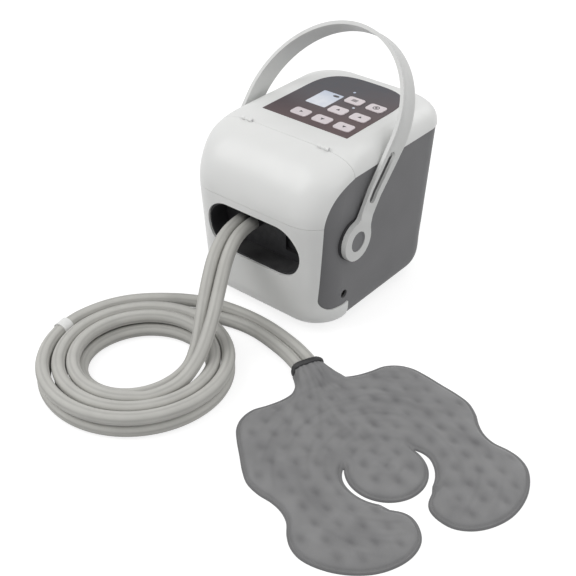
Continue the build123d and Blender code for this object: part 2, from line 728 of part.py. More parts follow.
# Ports in the hose bay: collar outside, stem through the wall
for side, x in PORT_X.items():
    with BuildPart() as port:
        with BuildSketch(Plane.XZ.offset(-BAY_BACK)):
            with Locations((x, PORT_Z)):
                Circle(TUBE_RADIUS)
        extrude(amount=PORT_COLLAR)
        stem_end = PIPE_RISE_Y + PIPE_RADIUS if side == "supply" else TANK_FRONT + 2 * TANK_WALL
        with BuildSketch(Plane.XZ.offset(-BAY_BACK)):
            with Locations((x, PORT_Z)):
                Circle(PORT_STEM)
        extrude(amount=BAY_BACK - stem_end)
        if side == "supply":
            with BuildSketch(Plane.XY.offset(PORT_Z)):
                with Locations((x, PIPE_RISE_Y)):
                    Circle(PIPE_RADIUS)
            extrude(amount=-PIPE_LEVEL)
    place(f"{side}_port", port.part)

# Control panel and display
with BuildPart() as control_panel:
    with BuildSketch(Plane.XY.offset(panel_floor)):
        add(panel_outline(0))
        with Locations(*key_places.values()):
            RectangleRounded(
                KEY_WIDTH + 2 * KEY_GAP, KEY_DEPTH + 2 * KEY_GAP, KEY_CORNER + KEY_GAP, mode=Mode.SUBTRACT
            )
        with Locations((DISPLAY_X, DISPLAY_Y)):
            RectangleRounded(
                DISPLAY_WIDTH + 2 * DISPLAY_GAP,
                DISPLAY_DEPTH + 2 * DISPLAY_GAP,
                DISPLAY_CORNER,
                mode=Mode.SUBTRACT,
            )
    extrude(amount=PANEL_THICKNESS)
place("control_panel", control_panel.part)

with BuildPart() as display_window:
    with BuildSketch(Plane.XY.offset(panel_floor)):
        with Locations((DISPLAY_X, DISPLAY_Y)):
            RectangleRounded(DISPLAY_WIDTH, DISPLAY_DEPTH, DISPLAY_CORNER)
    extrude(amount=PANEL_THICKNESS)
place("display_window", display_window.part)

with BuildPart() as display_module:
    with BuildSketch(Plane.XY.offset(BOARD_TOP)):
        with Locations((DISPLAY_X, DISPLAY_Y)):
            Rectangle(DISPLAY_WIDTH - 2 * DISPLAY_LEDGE - 1, DISPLAY_DEPTH - 2 * DISPLAY_LEDGE - 1)
    extrude(amount=panel_floor - REST_GAP - BOARD_TOP)
place("display_module", display_module.part)

with BuildPart() as control_board:
    with BuildSketch(Plane.XY.offset(BOARD_TOP - BOARD_THICKNESS)):
        with Locations((0, (BOARD_NEAR + BOARD_FAR) / 2)):
            Rectangle(BOARD_WIDTH, BOARD_FAR - BOARD_NEAR)
        with Locations(*boss_places):
            Circle(SCREW_RADIUS + SCREW_CLEARANCE, mode=Mode.SUBTRACT)
    extrude(amount=BOARD_THICKNESS)
place("control_board", control_board.part)

with BuildPart() as key_switches:
    with BuildSketch(Plane.XY.offset(BOARD_TOP)):
        with Locations(*key_places.values()):
            Rectangle(SWITCH_SIZE, SWITCH_SIZE)
    extrude(amount=SWITCH_HEIGHT - SWITCH_BUTTON)
    with BuildSketch(Plane.XY.offset(BOARD_TOP + SWITCH_HEIGHT - SWITCH_BUTTON)):
        with Locations(*key_places.values()):
            Circle(SWITCH_BUTTON_RADIUS)
    extrude(amount=SWITCH_BUTTON)
place("key_switches", key_switches.part)

with BuildPart() as board_screws:
    with BuildSketch(Plane.XY.offset(BOARD_TOP - BOARD_THICKNESS)):
        with Locations(*boss_places):
            Circle(SCREW_HEAD_RADIUS)
    extrude(amount=-SCREW_HEAD)
    with BuildSketch(Plane.XY.offset(BOARD_TOP - BOARD_THICKNESS)):
        with Locations(*boss_places):
            Circle(SCREW_RADIUS)
    extrude(amount=BOARD_SCREW)
place("board_screws", board_screws.part)

# Keys: head in the panel's opening, stem down to its switch
key_bottom = panel_floor + KEY_TRAVEL + KEY_FLOOR_GAP
stem_bottom = BOARD_TOP + SWITCH_HEIGHT + KEY_TRAVEL + KEY_SWITCH_GAP
for name, (x, y) in key_places.items():
    with BuildPart() as key:
        with BuildSketch(Plane.XY.offset(key_bottom)):
            with Locations((x, y)):
                RectangleRounded(KEY_WIDTH, KEY_DEPTH, KEY_CORNER)
        extrude(amount=KEY_HEAD)
        fillet(key.faces().sort_by(Axis.Z)[-1].edges(), KEY_EDGE)
        with BuildSketch(Plane.XY.offset(stem_bottom)):
            with Locations((x, y)):
                Circle(KEY_STEM_RADIUS)
        extrude(amount=key_bottom - stem_bottom)
    place(name, key.part)

# Handle: two rings, two slotted straps and the arch that joins them, leaning back
lean = math.radians(HANDLE_LEAN)
along = Vector(0, math.sin(lean), math.cos(lean))
across = Vector(0, math.cos(lean), -math.sin(lean))
ring_inside = BODY_WIDTH / 2 + SIDE_GAP
strap_outside = ring_inside + STRAP_THICKNESS
arch_plane = Plane(origin=(0, PIVOT_Y, PIVOT_Z), x_dir=(1, 0, 0), z_dir=-across)
side_plane = Plane(origin=(0, PIVOT_Y, PIVOT_Z), x_dir=along, z_dir=(1, 0, 0))


def arch_face(half, rise):
    """Region under the arch: straight sides and an elliptical top."""
    with BuildSketch() as region:
        with BuildLine():
            Polyline((-half, STRAP_STRAIGHT), (-half, 0), (half, 0), (half, STRAP_STRAIGHT))
            EllipticalCenterArc((0, STRAP_STRAIGHT), half, rise - STRAP_STRAIGHT, start_angle=0, arc_size=180)
        make_face()
    return region.sketch


with BuildPart() as handle:
    with BuildSketch(arch_plane):
        add(arch_face(strap_outside, STRAP_RISE))
        add(arch_face(ring_inside, STRAP_RISE - STRAP_THICKNESS), mode=Mode.SUBTRACT)
    extrude(amount=STRAP_WIDTH / 2, both=True)
    # shallow channel between the strap's two raised rims
    with BuildSketch(arch_plane):
        add(arch_face(strap_outside + 1, STRAP_RISE + 1))
        add(arch_face(strap_outside - STRAP_GROOVE, STRAP_RISE - STRAP_GROOVE), mode=Mode.SUBTRACT)
        with Locations((0, RING_RADIUS / 2)):
            Rectangle(2 * BODY_WIDTH, 2 * RING_RADIUS, mode=Mode.SUBTRACT)
    extrude(amount=STRAP_WIDTH / 2 - STRAP_RIM, both=True, mode=Mode.SUBTRACT)
    for side in (-1, 1):
        inside = side_plane.offset(side * ring_inside)
        with BuildSketch(inside):
            Circle(RING_RADIUS)
        extrude(amount=side * RING_THICKNESS)
        with BuildSketch(side_plane):
            with Locations(((SLOT_START + SLOT_END) / 2, 0)):
                SlotOverall(SLOT_END - SLOT_START, SLOT_WIDTH)
            Circle(STUD_RADIUS + STUD_CLEARANCE)
        extrude(amount=side * BODY_WIDTH, mode=Mode.SUBTRACT)
        recess_floor = ring_inside + RING_THICKNESS - STUD_HEAD - STUD_CLEARANCE
        with BuildSketch(side_plane.offset(side * recess_floor)):
            Circle(STUD_HEAD_RADIUS + STUD_CLEARANCE)
        extrude(amount=side * RING_THICKNESS, mode=Mode.SUBTRACT)
place("handle", handle.part)

housing_side = BODY_WIDTH / 2 - HOUSING_INSET
for name, side in (("left", -1), ("right", 1)):
    with BuildPart() as handle_stud:
        with BuildSketch(side_plane.offset(side * (housing_side - HOUSING_WALL - STUD_GRIP))):
            Circle(STUD_RADIUS)
        extrude(amount=side * (ring_inside + RING_THICKNESS - housing_side + HOUSING_WALL + STUD_GRIP))
        with BuildSketch(side_plane.offset(side * (ring_inside + RING_THICKNESS - STUD_HEAD))):
            Circle(STUD_HEAD_RADIUS)
        extrude(amount=side * STUD_HEAD)
    place(f"handle_stud_{name}", handle_stud.part)
    with BuildPart() as handle_washer:
        with BuildSketch(side_plane.offset(side * (housing_side + SCREW_CLEARANCE))):
            Circle(RING_RADIUS - WASHER_SMALLER)
            Circle(STUD_RADIUS + SCREW_CLEARANCE, mode=Mode.SUBTRACT)
        extrude(amount=side * (ring_inside - housing_side - SCREW_CLEARANCE - REST_GAP))
    place(f"handle_washer_{name}", handle_washer.part)

# Pump: chamber with side inlet and front outlet, impeller and motor
with BuildPart() as pump_housing:
    with BuildSketch(Plane.XY.offset(PUMP_FLOOR)):
        with Locations((PUMP_X, PUMP_Y)):
            Circle(PUMP_RADIUS)
    extrude(amount=PUMP_HEIGHT)
    inlet_reach = PUMP_RADIUS + PUMP_INLET_REACH
    with BuildSketch(Plane.YZ.offset(PUMP_X)):
        with Locations((PUMP_Y, PUMP_INLET_Z)):
            Circle(PIPE_RADIUS)
    extrude(amount=inlet_reach)
    outlet_face = PUMP_Y - PUMP_RADIUS - PUMP_OUTLET_REACH
    with BuildSketch(Plane.XZ.offset(-PUMP_Y)):
        with Locations((PUMP_OUTLET_X, PIPE_LEVEL)):
            Circle(PIPE_RADIUS)
    extrude(amount=PUMP_Y - outlet_face)
    with BuildSketch(Plane.XY.offset(PUMP_FLOOR + PUMP_WALL)):
        with Locations((PUMP_X, PUMP_Y)):
            Circle(PUMP_RADIUS - PUMP_WALL)
    extrude(amount=PUMP_HEIGHT - 2 * PUMP_WALL, mode=Mode.SUBTRACT)
    with BuildSketch(Plane.XY.offset(PUMP_FLOOR + PUMP_WALL)):
        with Locations((PUMP_X, PUMP_Y)):
            Circle(SHAFT_RADIUS + SHAFT_CLEARANCE)
    extrude(amount=PUMP_HEIGHT, mode=Mode.SUBTRACT)
    with BuildSketch(Plane.YZ.offset(PUMP_X)):
        with Locations((PUMP_Y, PUMP_INLET_Z)):
            Circle(NIPPLE_BORE)
    extrude(amount=inlet_reach, mode=Mode.SUBTRACT)
    with BuildSketch(Plane.XZ.offset(-PUMP_Y)):
        with Locations((PUMP_OUTLET_X, PIPE_LEVEL)):
            Circle(NIPPLE_BORE - PUMP_OUTLET_WALL)
    extrude(amount=PUMP_Y - outlet_face, mode=Mode.SUBTRACT)
place("pump_housing", pump_housing.part)

pump_top = PUMP_FLOOR + PUMP_HEIGHT
with BuildPart() as impeller:
    with BuildSketch(Plane.XY.offset(PUMP_FLOOR + PUMP_WALL + IMPELLER_GAP)):
        with Locations((PUMP_X, PUMP_Y)):
            Circle(IMPELLER_RADIUS)
    extrude(amount=IMPELLER_DISC)
    with BuildSketch(Plane.XY.offset(PUMP_FLOOR + PUMP_WALL + IMPELLER_GAP)):
        with Locations((PUMP_X, PUMP_Y)):
            Circle(HUB_RADIUS)
            with PolarLocations((HUB_RADIUS + IMPELLER_RADIUS) / 2 - VANE_LAP, IMPELLER_VANES):
                Rectangle(IMPELLER_RADIUS - HUB_RADIUS, VANE_THICKNESS)
    extrude(amount=PUMP_HEIGHT - 2 * PUMP_WALL - 2 * IMPELLER_GAP)
    with BuildSketch(Plane.XY.offset(PUMP_FLOOR + PUMP_WALL + IMPELLER_GAP)):
        with Locations((PUMP_X, PUMP_Y)):
            Circle(SHAFT_RADIUS)
    extrude(amount=PUMP_HEIGHT - PUMP_WALL - IMPELLER_GAP + SHAFT_IN_MOTOR)
place("impeller", impeller.part)

with BuildPart() as pump_motor:
    with BuildSketch(Plane.XY.offset(pump_top)):
        with Locations((PUMP_X, PUMP_Y)):
            Circle(MOTOR_RADIUS)
    extrude(amount=MOTOR_HEIGHT)
    fillet(pump_motor.faces().sort_by(Axis.Z)[-1].edges(), MOTOR_EDGE)
    with BuildSketch(Plane.XY.offset(pump_top)):
        with Locations((PUMP_X, PUMP_Y)):
            Circle(SHAFT_RADIUS + SHAFT_CLEARANCE)
    extrude(amount=SHAFT_IN_MOTOR + 1, mode=Mode.SUBTRACT)
place("pump_motor", pump_motor.part)

with BuildPart() as pump_mount:
    with BuildSketch(Plane.XY.offset(PUMP_FLOOR - MOUNT_THICKNESS)):
        with Locations((PUMP_X, PUMP_Y)):
            Circle(MOUNT_RADIUS)
    extrude(amount=MOUNT_THICKNESS)
    with BuildSketch(Plane.XY.offset(HOUSING_FLOOR)):
        with Locations((PUMP_X, PUMP_Y)):
            with GridLocations(2 * MOUNT_FOOT_SPREAD, 1, 2, 1):
                Circle(MOUNT_FOOT_RADIUS)
    extrude(amount=PUMP_FLOOR - MOUNT_THICKNESS - HOUSING_FLOOR)
place("pump_mount", pump_mount.part)


def tube_path(points, share=0.45):
    """Straight runs joined by tangent arcs, each as large as its two runs allow."""
    points = [Vector(*point) for point in points]
    radii = []
    for before, corner, after in zip(points, points[1:], points[2:]):
        first, second = corner - before, after - corner
        turn = math.radians(first.get_angle(second))
        radii.append(share * min(first.length, second.length) / math.tan(turn / 2))
    return points, radii


def sweep_tube(path, radius, name):
    """Sweeps a round section along a path and checks its volume."""
    with BuildPart(mode=Mode.PRIVATE) as tube:
        with BuildSketch(Plane(origin=path @ 0, z_dir=path % 0)):
            Circle(radius)
        sweep(path=path)
    expected = math.pi * radius**2 * path.length
    share = tube.part.volume / expected
    print(f"{name}: {path.length:.0f} long, volume {share:.4f} of its section times length")
    return tube.part


def bent_tube(points, radius, name):
    """A tube along straight runs and arcs."""
    corners, radii = tube_path(points)
    print(f"{name}: bend radii", [round(value) for value in radii])
    path = Wire(FilletPolyline(*corners, radius=radii, mode=Mode.PRIVATE).edges())
    return sweep_tube(path, radius, name)


outlet_tip = TANK_BACK + NIPPLE_LENGTH
inlet_tip = PUMP_X + PUMP_RADIUS + PUMP_INLET_REACH
place("suction_tube", bent_tube([
    (OUTLET_X, outlet_tip, OUTLET_Z),
    (OUTLET_X, PUMP_Y, OUTLET_Z),
    (OUTLET_X, PUMP_Y, PUMP_INLET_Z),
    (inlet_tip, PUMP_Y, PUMP_INLET_Z),
], PIPE_RADIUS, "suction_tube"))
supply_x = PORT_X["supply"]
place("delivery_tube", bent_tube([
    (PUMP_OUTLET_X, outlet_face, PIPE_LEVEL),
    (PUMP_OUTLET_X, PIPE_RISE_Y, PIPE_LEVEL),
    (supply_x, PIPE_RISE_Y, PIPE_LEVEL),
    (supply_x, PIPE_RISE_Y, PORT_Z - PIPE_LEVEL),
], PIPE_RADIUS, "delivery_tube"))

# Base plate with its screws and feet
with BuildPart() as base_plate:
    with BuildSketch(Plane.XY.offset(BASE_BOTTOM)):
        RectangleRounded(BASE_WIDTH, BASE_DEPTH, BASE_CORNER)
        with Locations(*[(side * POST_X, y) for side in (-1, 1) for y in POST_Y]):
            Circle(SCREW_RADIUS + SCREW_CLEARANCE, mode=Mode.SUBTRACT)
    extrude(amount=BASE_PLATE)
place("base_plate", base_plate.part)

with BuildPart() as base_screws:
    with BuildSketch(Plane.XY.offset(BASE_BOTTOM)):
        with Locations(*[(side * POST_X, y) for side in (-1, 1) for y in POST_Y]):
            Circle(SCREW_HEAD_RADIUS)
    extrude(amount=-SCREW_HEAD)
    with BuildSketch(Plane.XY.offset(BASE_BOTTOM)):
        with Locations(*[(side * POST_X, y) for side in (-1, 1) for y in POST_Y]):
            Circle(SCREW_RADIUS)
    extrude(amount=SCREW_LENGTH)
place("base_screws", base_screws.part)

with BuildPart() as rubber_feet:
    with BuildSketch(Plane.XY):
        with GridLocations(2 * FOOT_X, 2 * FOOT_Y, 2, 2):
            Circle(FOOT_RADIUS)
    extrude(amount=BASE_BOTTOM)
    chamfer(rubber_feet.faces().filter_by(Axis.Z).group_by(Axis.Z)[0].edges(), FOOT_TAPER)
place("rubber_feet", rubber_feet.part)

with BuildPart() as power_jack:
    with BuildSketch(back_plane(JACK_X, JACK_Z).offset(JACK_SEAT)):
        Circle(JACK_FLANGE_RADIUS)
    extrude(amount=JACK_FLANGE)
    with BuildSketch(back_plane(JACK_X, JACK_Z).offset(JACK_SEAT)):
        Circle(JACK_RADIUS)
    extrude(amount=-JACK_LENGTH)
    with BuildSketch(back_plane(JACK_X, JACK_Z).offset(JACK_SEAT + JACK_FLANGE)):
        Circle(JACK_BORE)
        Circle(JACK_PIN, mode=Mode.SUBTRACT)
    extrude(amount=-JACK_BORE_DEPTH, mode=Mode.SUBTRACT)
place("power_jack", power_jack.part)



def coil_path(turns, start_angle):
    """Half turns, right side first, and the last stretch up to where the hose leaves."""
    side = 1
    spots = []
    for radius, level in turns:
        spots.append(Vector(COIL_X + side * radius, COIL_Y, level))
        side = -side
    edges = []
    for index, (start, end) in enumerate(zip(spots, spots[1:])):
        middle = (start + end) / 2
        reach = (end - start).length / 2
        way = -1 if index % 2 == 0 else 1
        top = middle + Vector(0, way * reach, 0)
        if index == 0 and start_angle:
            swing = math.radians(start_angle)
            start = middle + Vector(reach * math.cos(swing), reach * math.sin(swing), 0)
        edges.append(ThreePointArc(start, top, end, mode=Mode.PRIVATE))
    last, level = turns[-1]
    exit_middle = COIL_X - last + EXIT_RADIUS
    way_out = [spots[-1]]
    for angle in ((180 + EXIT_ANGLE) / 2, EXIT_ANGLE):
        swing = math.radians(angle)
        way_out.append(Vector(
            exit_middle + EXIT_RADIUS * math.cos(swing), COIL_Y + EXIT_RADIUS * math.sin(swing), level
        ))
    edges.append(ThreePointArc(*way_out, mode=Mode.PRIVATE))
    return Wire([edge.edge() for edge in edges])


supply_coil_path = coil_path(SUPPLY_TURNS, SUPPLY_START)
return_coil_path = coil_path(RETURN_TURNS, 0)
place("supply_coil", sweep_tube(supply_coil_path, TUBE_RADIUS, "supply_coil"))
place("return_coil", sweep_tube(return_coil_path, TUBE_RADIUS, "return_coil"))


def pad_point(x, y, z):
    """A point of the pad's own frame on the floor frame."""
    heading = math.radians(PAD_HEADING)
    return (
        PAD_X + x * math.cos(heading) - y * math.sin(heading),
        PAD_Y + x * math.sin(heading) + y * math.cos(heading),
        z,
    )


# Hose drops from the ports to the coil, and leads from the coil to the pad
port_face = BAY_BACK - PORT_COLLAR
supply_start = supply_coil_path @ 0
supply_heading = supply_coil_path % 0
return_start = return_coil_path @ 0
DROP = {
    "supply": [
        (PORT_X["supply"], port_face, PORT_Z),
        (PORT_X["supply"], -122, PORT_Z),
        (-5.4, -155.9, 107),
        (11.8, -189.3, 87),
        (26.4, -218.6, 63),
        (39.5, -251, 42),
        (44.3, -274.5, 32),
        (45.4, -292.9, 26.8),
        (41.9, -310.9, 24.5),
        tuple(supply_start - supply_heading * LAST_RUN),
        tuple(supply_start),
    ],
    "return": [
        (PORT_X["return"], port_face, PORT_Z),
        (PORT_X["return"], -122, PORT_Z),
        (-20.6, -162.1, 107),
        (-2.8, -196.7, 84),
        (10.5, -222, 56),
        (21, -239, 38.6),
        (26.4, -255, 24.8),
        (27.8, -265.3, 19.6),
        (28, -276.5, 17),
        tuple(return_start),
    ],
}
exit_swing = math.radians(EXIT_ANGLE)
exit_heading = (math.sin(exit_swing), -math.cos(exit_swing))


def straight_on(path, level):
    """The coil's end and a point a little further along its heading."""
    end = path @ 1
    return [
        (end.X, end.Y, level),
        (end.X + STRAIGHT_START * exit_heading[0], end.Y + STRAIGHT_START * exit_heading[1], level),
    ]


def pad_end(side):
    """The last straight run of a lead, square to the manifold."""
    y = side * HOSE_PITCH / 2
    return [pad_point(HOSE_END_X - PAD_RUN, y, FLOOR_LAYER), pad_point(HOSE_END_X, y, FLOOR_LAYER)]


LEAD = {
    "supply": straight_on(supply_coil_path, TOP_LAYER) + [
        (-65.4, -173.7, 22),
        (-38.6, -152.6, 17),
        (-7.2, -139.3, 11),
        (30, -134.6, FLOOR_LAYER),
        (71.8, -140.8, FLOOR_LAYER),
    ] + pad_end(1),
    "return": straight_on(return_coil_path, FLOOR_LAYER) + [
        (-60.1, -180.4, FLOOR_LAYER),
        (-31.8, -164.7, FLOOR_LAYER),
        (-2.7, -154.8, FLOOR_LAYER),
        (30, -151.1, FLOOR_LAYER),
        (68.2, -157.1, FLOOR_LAYER),
    ] + pad_end(-1),
}
for side in ("supply", "return"):
    place(f"{side}_drop", bent_tube(DROP[side], TUBE_RADIUS, f"{side}_drop"))
    place(f"{side}_lead", bent_tube(LEAD[side], TUBE_RADIUS, f"{side}_lead"))

# Least gap of each coil to itself, measured on points half a turn or more apart
for name, path in (("supply_coil", supply_coil_path), ("return_coil", return_coil_path)):
    spots = [path @ (index / COIL_SAMPLES) for index in range(COIL_SAMPLES + 1)]
    least = min(
        (spots[i] - spots[j]).length
        for i in range(COIL_SAMPLES + 1)
        for j in range(i + COIL_APART, COIL_SAMPLES + 1)
    )
    print(f"{name}: least gap to itself {least - 2 * TUBE_RADIUS:.2f}")

# Clip round the two stacked outer turns
clip_swing = math.radians(CLIP_ANGLE)
clip_out = (math.cos(clip_swing), math.sin(clip_swing), 0)
clip_spot = (
    COIL_X + SUPPLY_TURNS[-1][0] * clip_out[0],
    COIL_Y + SUPPLY_TURNS[-1][0] * clip_out[1],
    (FLOOR_LAYER + TOP_LAYER) / 2,
)
clip_plane = Plane(origin=clip_spot, x_dir=(0, 0, 1), z_dir=(-clip_out[1], clip_out[0], 0))
with BuildPart() as hose_clip:
    with BuildSketch(clip_plane):
        inner = TUBE_RADIUS + CLIP_CLEARANCE
        SlotCenterToCenter(TOP_LAYER - FLOOR_LAYER, 2 * (inner + CLIP_WALL))
        SlotCenterToCenter(TOP_LAYER - FLOOR_LAYER, 2 * inner, mode=Mode.SUBTRACT)
    extrude(amount=CLIP_WIDTH / 2, both=True)
    add(half_space(Plane.XY.offset(REST_GAP)), mode=Mode.INTERSECT)
place("hose_clip", hose_clip.part)

# Pad: manifold, clamp and the soft bladder
pad_heading = math.radians(PAD_HEADING)
pad_plane = Plane(
    origin=(PAD_X, PAD_Y, 0), x_dir=(math.cos(pad_heading), math.sin(pad_heading), 0), z_dir=(0, 0, 1)
)
with BuildPart() as pad_manifold:
    with BuildSketch(pad_plane):
        with Locations(((HOSE_END_X + PAD_NECK_X) / 2, 0)):
            Rectangle(PAD_NECK_X - HOSE_END_X, MANIFOLD_WIDTH)
    extrude(amount=MANIFOLD_HEIGHT)
    fillet(pad_manifold.edges().filter_by(Axis.Z), MANIFOLD_CORNER)
    fillet(pad_manifold.faces().sort_by(Axis.Z)[-1].edges(), MANIFOLD_EDGE)
place("pad_manifold", pad_manifold.part)

clamp_plane = Plane(
    origin=pad_point(HOSE_END_X - CLAMP_LENGTH, 0, FLOOR_LAYER),
    x_dir=(-math.sin(pad_heading), math.cos(pad_heading), 0),
    z_dir=(math.cos(pad_heading), math.sin(pad_heading), 0),
)
with BuildPart() as pad_clamp:
    with BuildSketch(clamp_plane):
        inside_width = HOSE_PITCH + 2 * (TUBE_RADIUS + CLAMP_CLEARANCE)
        inside_height = 2 * (TUBE_RADIUS + CLAMP_CLEARANCE)
        RectangleRounded(inside_width + 2 * CLAMP_WALL, inside_height + 2 * CLAMP_WALL, TUBE_RADIUS)
        SlotOverall(inside_width, inside_height, mode=Mode.SUBTRACT)
    extrude(amount=CLAMP_LENGTH - REST_GAP)
    add(half_space(Plane.XY.offset(REST_GAP)), mode=Mode.INTERSECT)
place("pad_clamp", pad_clamp.part)


def pad_face(shrink):
    """Outline of the pad on the floor, drawn in by shrink."""
    slit_middle = PAD_DISC_RADIUS + PAD_SLIT / 2
    with BuildSketch() as face:
        with BuildLine():
            Line((PAD_NECK_X, 0), (PAD_NECK_X, PAD_NECK_HALF))
            ThreePointArc((PAD_NECK_X, PAD_NECK_HALF), (-146, 50), (-145, 84))
            ThreePointArc((-145, 84), (-136, 105), (-117, 117))
            ThreePointArc((-117, 117), (-83, 127), (-47, 135))
            ThreePointArc((-47, 135), (-20, 130), (6, 122))
            ThreePointArc((6, 122), (26, 126), (50, 131))
            ThreePointArc((50, 131), (99, 101), (112, 56))
            ThreePointArc((112, 56), (103, 26), (80, PAD_GAP_HALF))
            Line((80, PAD_GAP_HALF), (slit_middle, PAD_GAP_HALF))
            Line((slit_middle, PAD_GAP_HALF), (slit_middle, 0))
            mirror(about=Plane.XZ)
        make_face()
        # the slit round the middle disc, with round ends
        slit_line = CenterArc((0, 0), slit_middle, -PAD_SLIT_ANGLE, 2 * PAD_SLIT_ANGLE, mode=Mode.PRIVATE)
        SlotArc(slit_line.edge(), PAD_SLIT, mode=Mode.SUBTRACT)
        if shrink:
            offset(amount=-shrink)
    return face.sketch


# Pad: flat welded edge, raised bladder with sloped sides and welded dimples
def dimple_places():
    """Staggered rows of dimples that lie well inside the pad's outline."""
    inside = pad_face(PAD_DIMPLE_MARGIN).faces()[0]
    box = inside.bounding_box()
    row_pitch = PAD_DIMPLE_PITCH * math.sqrt(3) / 2
    row_count = int(box.max.Y / row_pitch)
    column_count = int(box.size.X / PAD_DIMPLE_PITCH)
    places = []
    for row in range(-row_count, row_count + 1):
        for column in range(column_count + 1):
            x = box.min.X + (column + abs(row) % 2 / 2) * PAD_DIMPLE_PITCH
            y = row * row_pitch
            if inside.is_inside(Vector(x, y, 0)):
                places.append((x, y))
    return places


dimples = dimple_places()
print("pad dimples", len(dimples))
with BuildPart() as pad:
    with BuildSketch(pad_plane):
        add(pad_face(0))
    extrude(amount=PAD_EDGE_THICKNESS)
    with BuildSketch(pad_plane.offset(PAD_EDGE_THICKNESS)):
        add(pad_face(PAD_EDGE))
    extrude(amount=PAD_THICKNESS - PAD_EDGE_THICKNESS, taper=PAD_SIDE_TAPER)
    with BuildSketch(pad_plane.offset(PAD_THICKNESS)):
        with Locations(*dimples):
            RegularPolygon(PAD_DIMPLE_RADIUS, PAD_DIMPLE_SIDES)
    extrude(amount=-PAD_DIMPLE_DEPTH, taper=PAD_DIMPLE_TAPER, mode=Mode.SUBTRACT)
place("pad", pad.part)
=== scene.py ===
"""Looks of a cold therapy machine: housing, carry handle, key panel, twin hoses and a dimpled pad."""

import json
import logging
import math
from dataclasses import dataclass, field
from enum import Enum

import bmesh
import bpy
import numpy as np
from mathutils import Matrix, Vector, noise
from mathutils.geometry import delaunay_2d_cdt

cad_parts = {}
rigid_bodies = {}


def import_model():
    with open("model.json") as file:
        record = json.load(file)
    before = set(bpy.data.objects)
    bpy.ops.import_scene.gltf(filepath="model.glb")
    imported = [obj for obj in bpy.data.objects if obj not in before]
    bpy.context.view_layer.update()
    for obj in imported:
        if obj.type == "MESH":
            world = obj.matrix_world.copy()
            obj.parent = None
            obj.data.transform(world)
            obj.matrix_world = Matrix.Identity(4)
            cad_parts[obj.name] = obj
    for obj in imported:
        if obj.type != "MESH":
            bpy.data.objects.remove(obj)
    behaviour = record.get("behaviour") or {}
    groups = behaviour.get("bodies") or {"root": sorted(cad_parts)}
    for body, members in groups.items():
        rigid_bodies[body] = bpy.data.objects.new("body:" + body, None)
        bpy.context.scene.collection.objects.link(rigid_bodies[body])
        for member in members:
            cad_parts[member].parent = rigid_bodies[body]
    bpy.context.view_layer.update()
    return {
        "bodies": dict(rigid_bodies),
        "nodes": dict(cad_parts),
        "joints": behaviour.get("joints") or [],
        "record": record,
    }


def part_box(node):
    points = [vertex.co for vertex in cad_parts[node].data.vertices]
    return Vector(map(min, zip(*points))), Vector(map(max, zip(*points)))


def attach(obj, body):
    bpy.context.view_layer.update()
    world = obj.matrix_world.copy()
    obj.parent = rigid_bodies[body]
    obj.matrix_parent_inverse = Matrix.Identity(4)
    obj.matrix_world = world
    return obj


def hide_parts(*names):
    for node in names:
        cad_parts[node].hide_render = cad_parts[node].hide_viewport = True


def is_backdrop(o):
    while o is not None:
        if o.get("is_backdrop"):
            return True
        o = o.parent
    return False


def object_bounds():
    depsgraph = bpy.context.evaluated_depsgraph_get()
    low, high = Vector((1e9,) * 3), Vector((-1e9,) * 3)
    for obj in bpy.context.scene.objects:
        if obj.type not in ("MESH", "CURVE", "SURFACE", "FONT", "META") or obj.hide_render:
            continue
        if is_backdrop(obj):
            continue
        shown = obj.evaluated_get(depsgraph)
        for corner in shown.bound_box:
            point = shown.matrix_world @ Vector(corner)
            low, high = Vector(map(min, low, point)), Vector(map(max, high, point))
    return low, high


MM = 0.001
MACHINE = "machine"
Color = tuple[float, float, float]
Point = tuple[float, float, float]
Spot = tuple[float, float]
Loop = list[Spot]
Face = tuple[int, ...]
Material = bpy.types.Material
Mesh = bpy.types.Mesh
Node = bpy.types.Node
Piece = bpy.types.Object
Socket = bpy.types.NodeSocket

log = logging.getLogger("cold_therapy_machine")


def opaque(color: Color) -> tuple[float, float, float, float]:
    """The colour with full opacity, as colour sockets take it."""
    return (*color, 1.0)


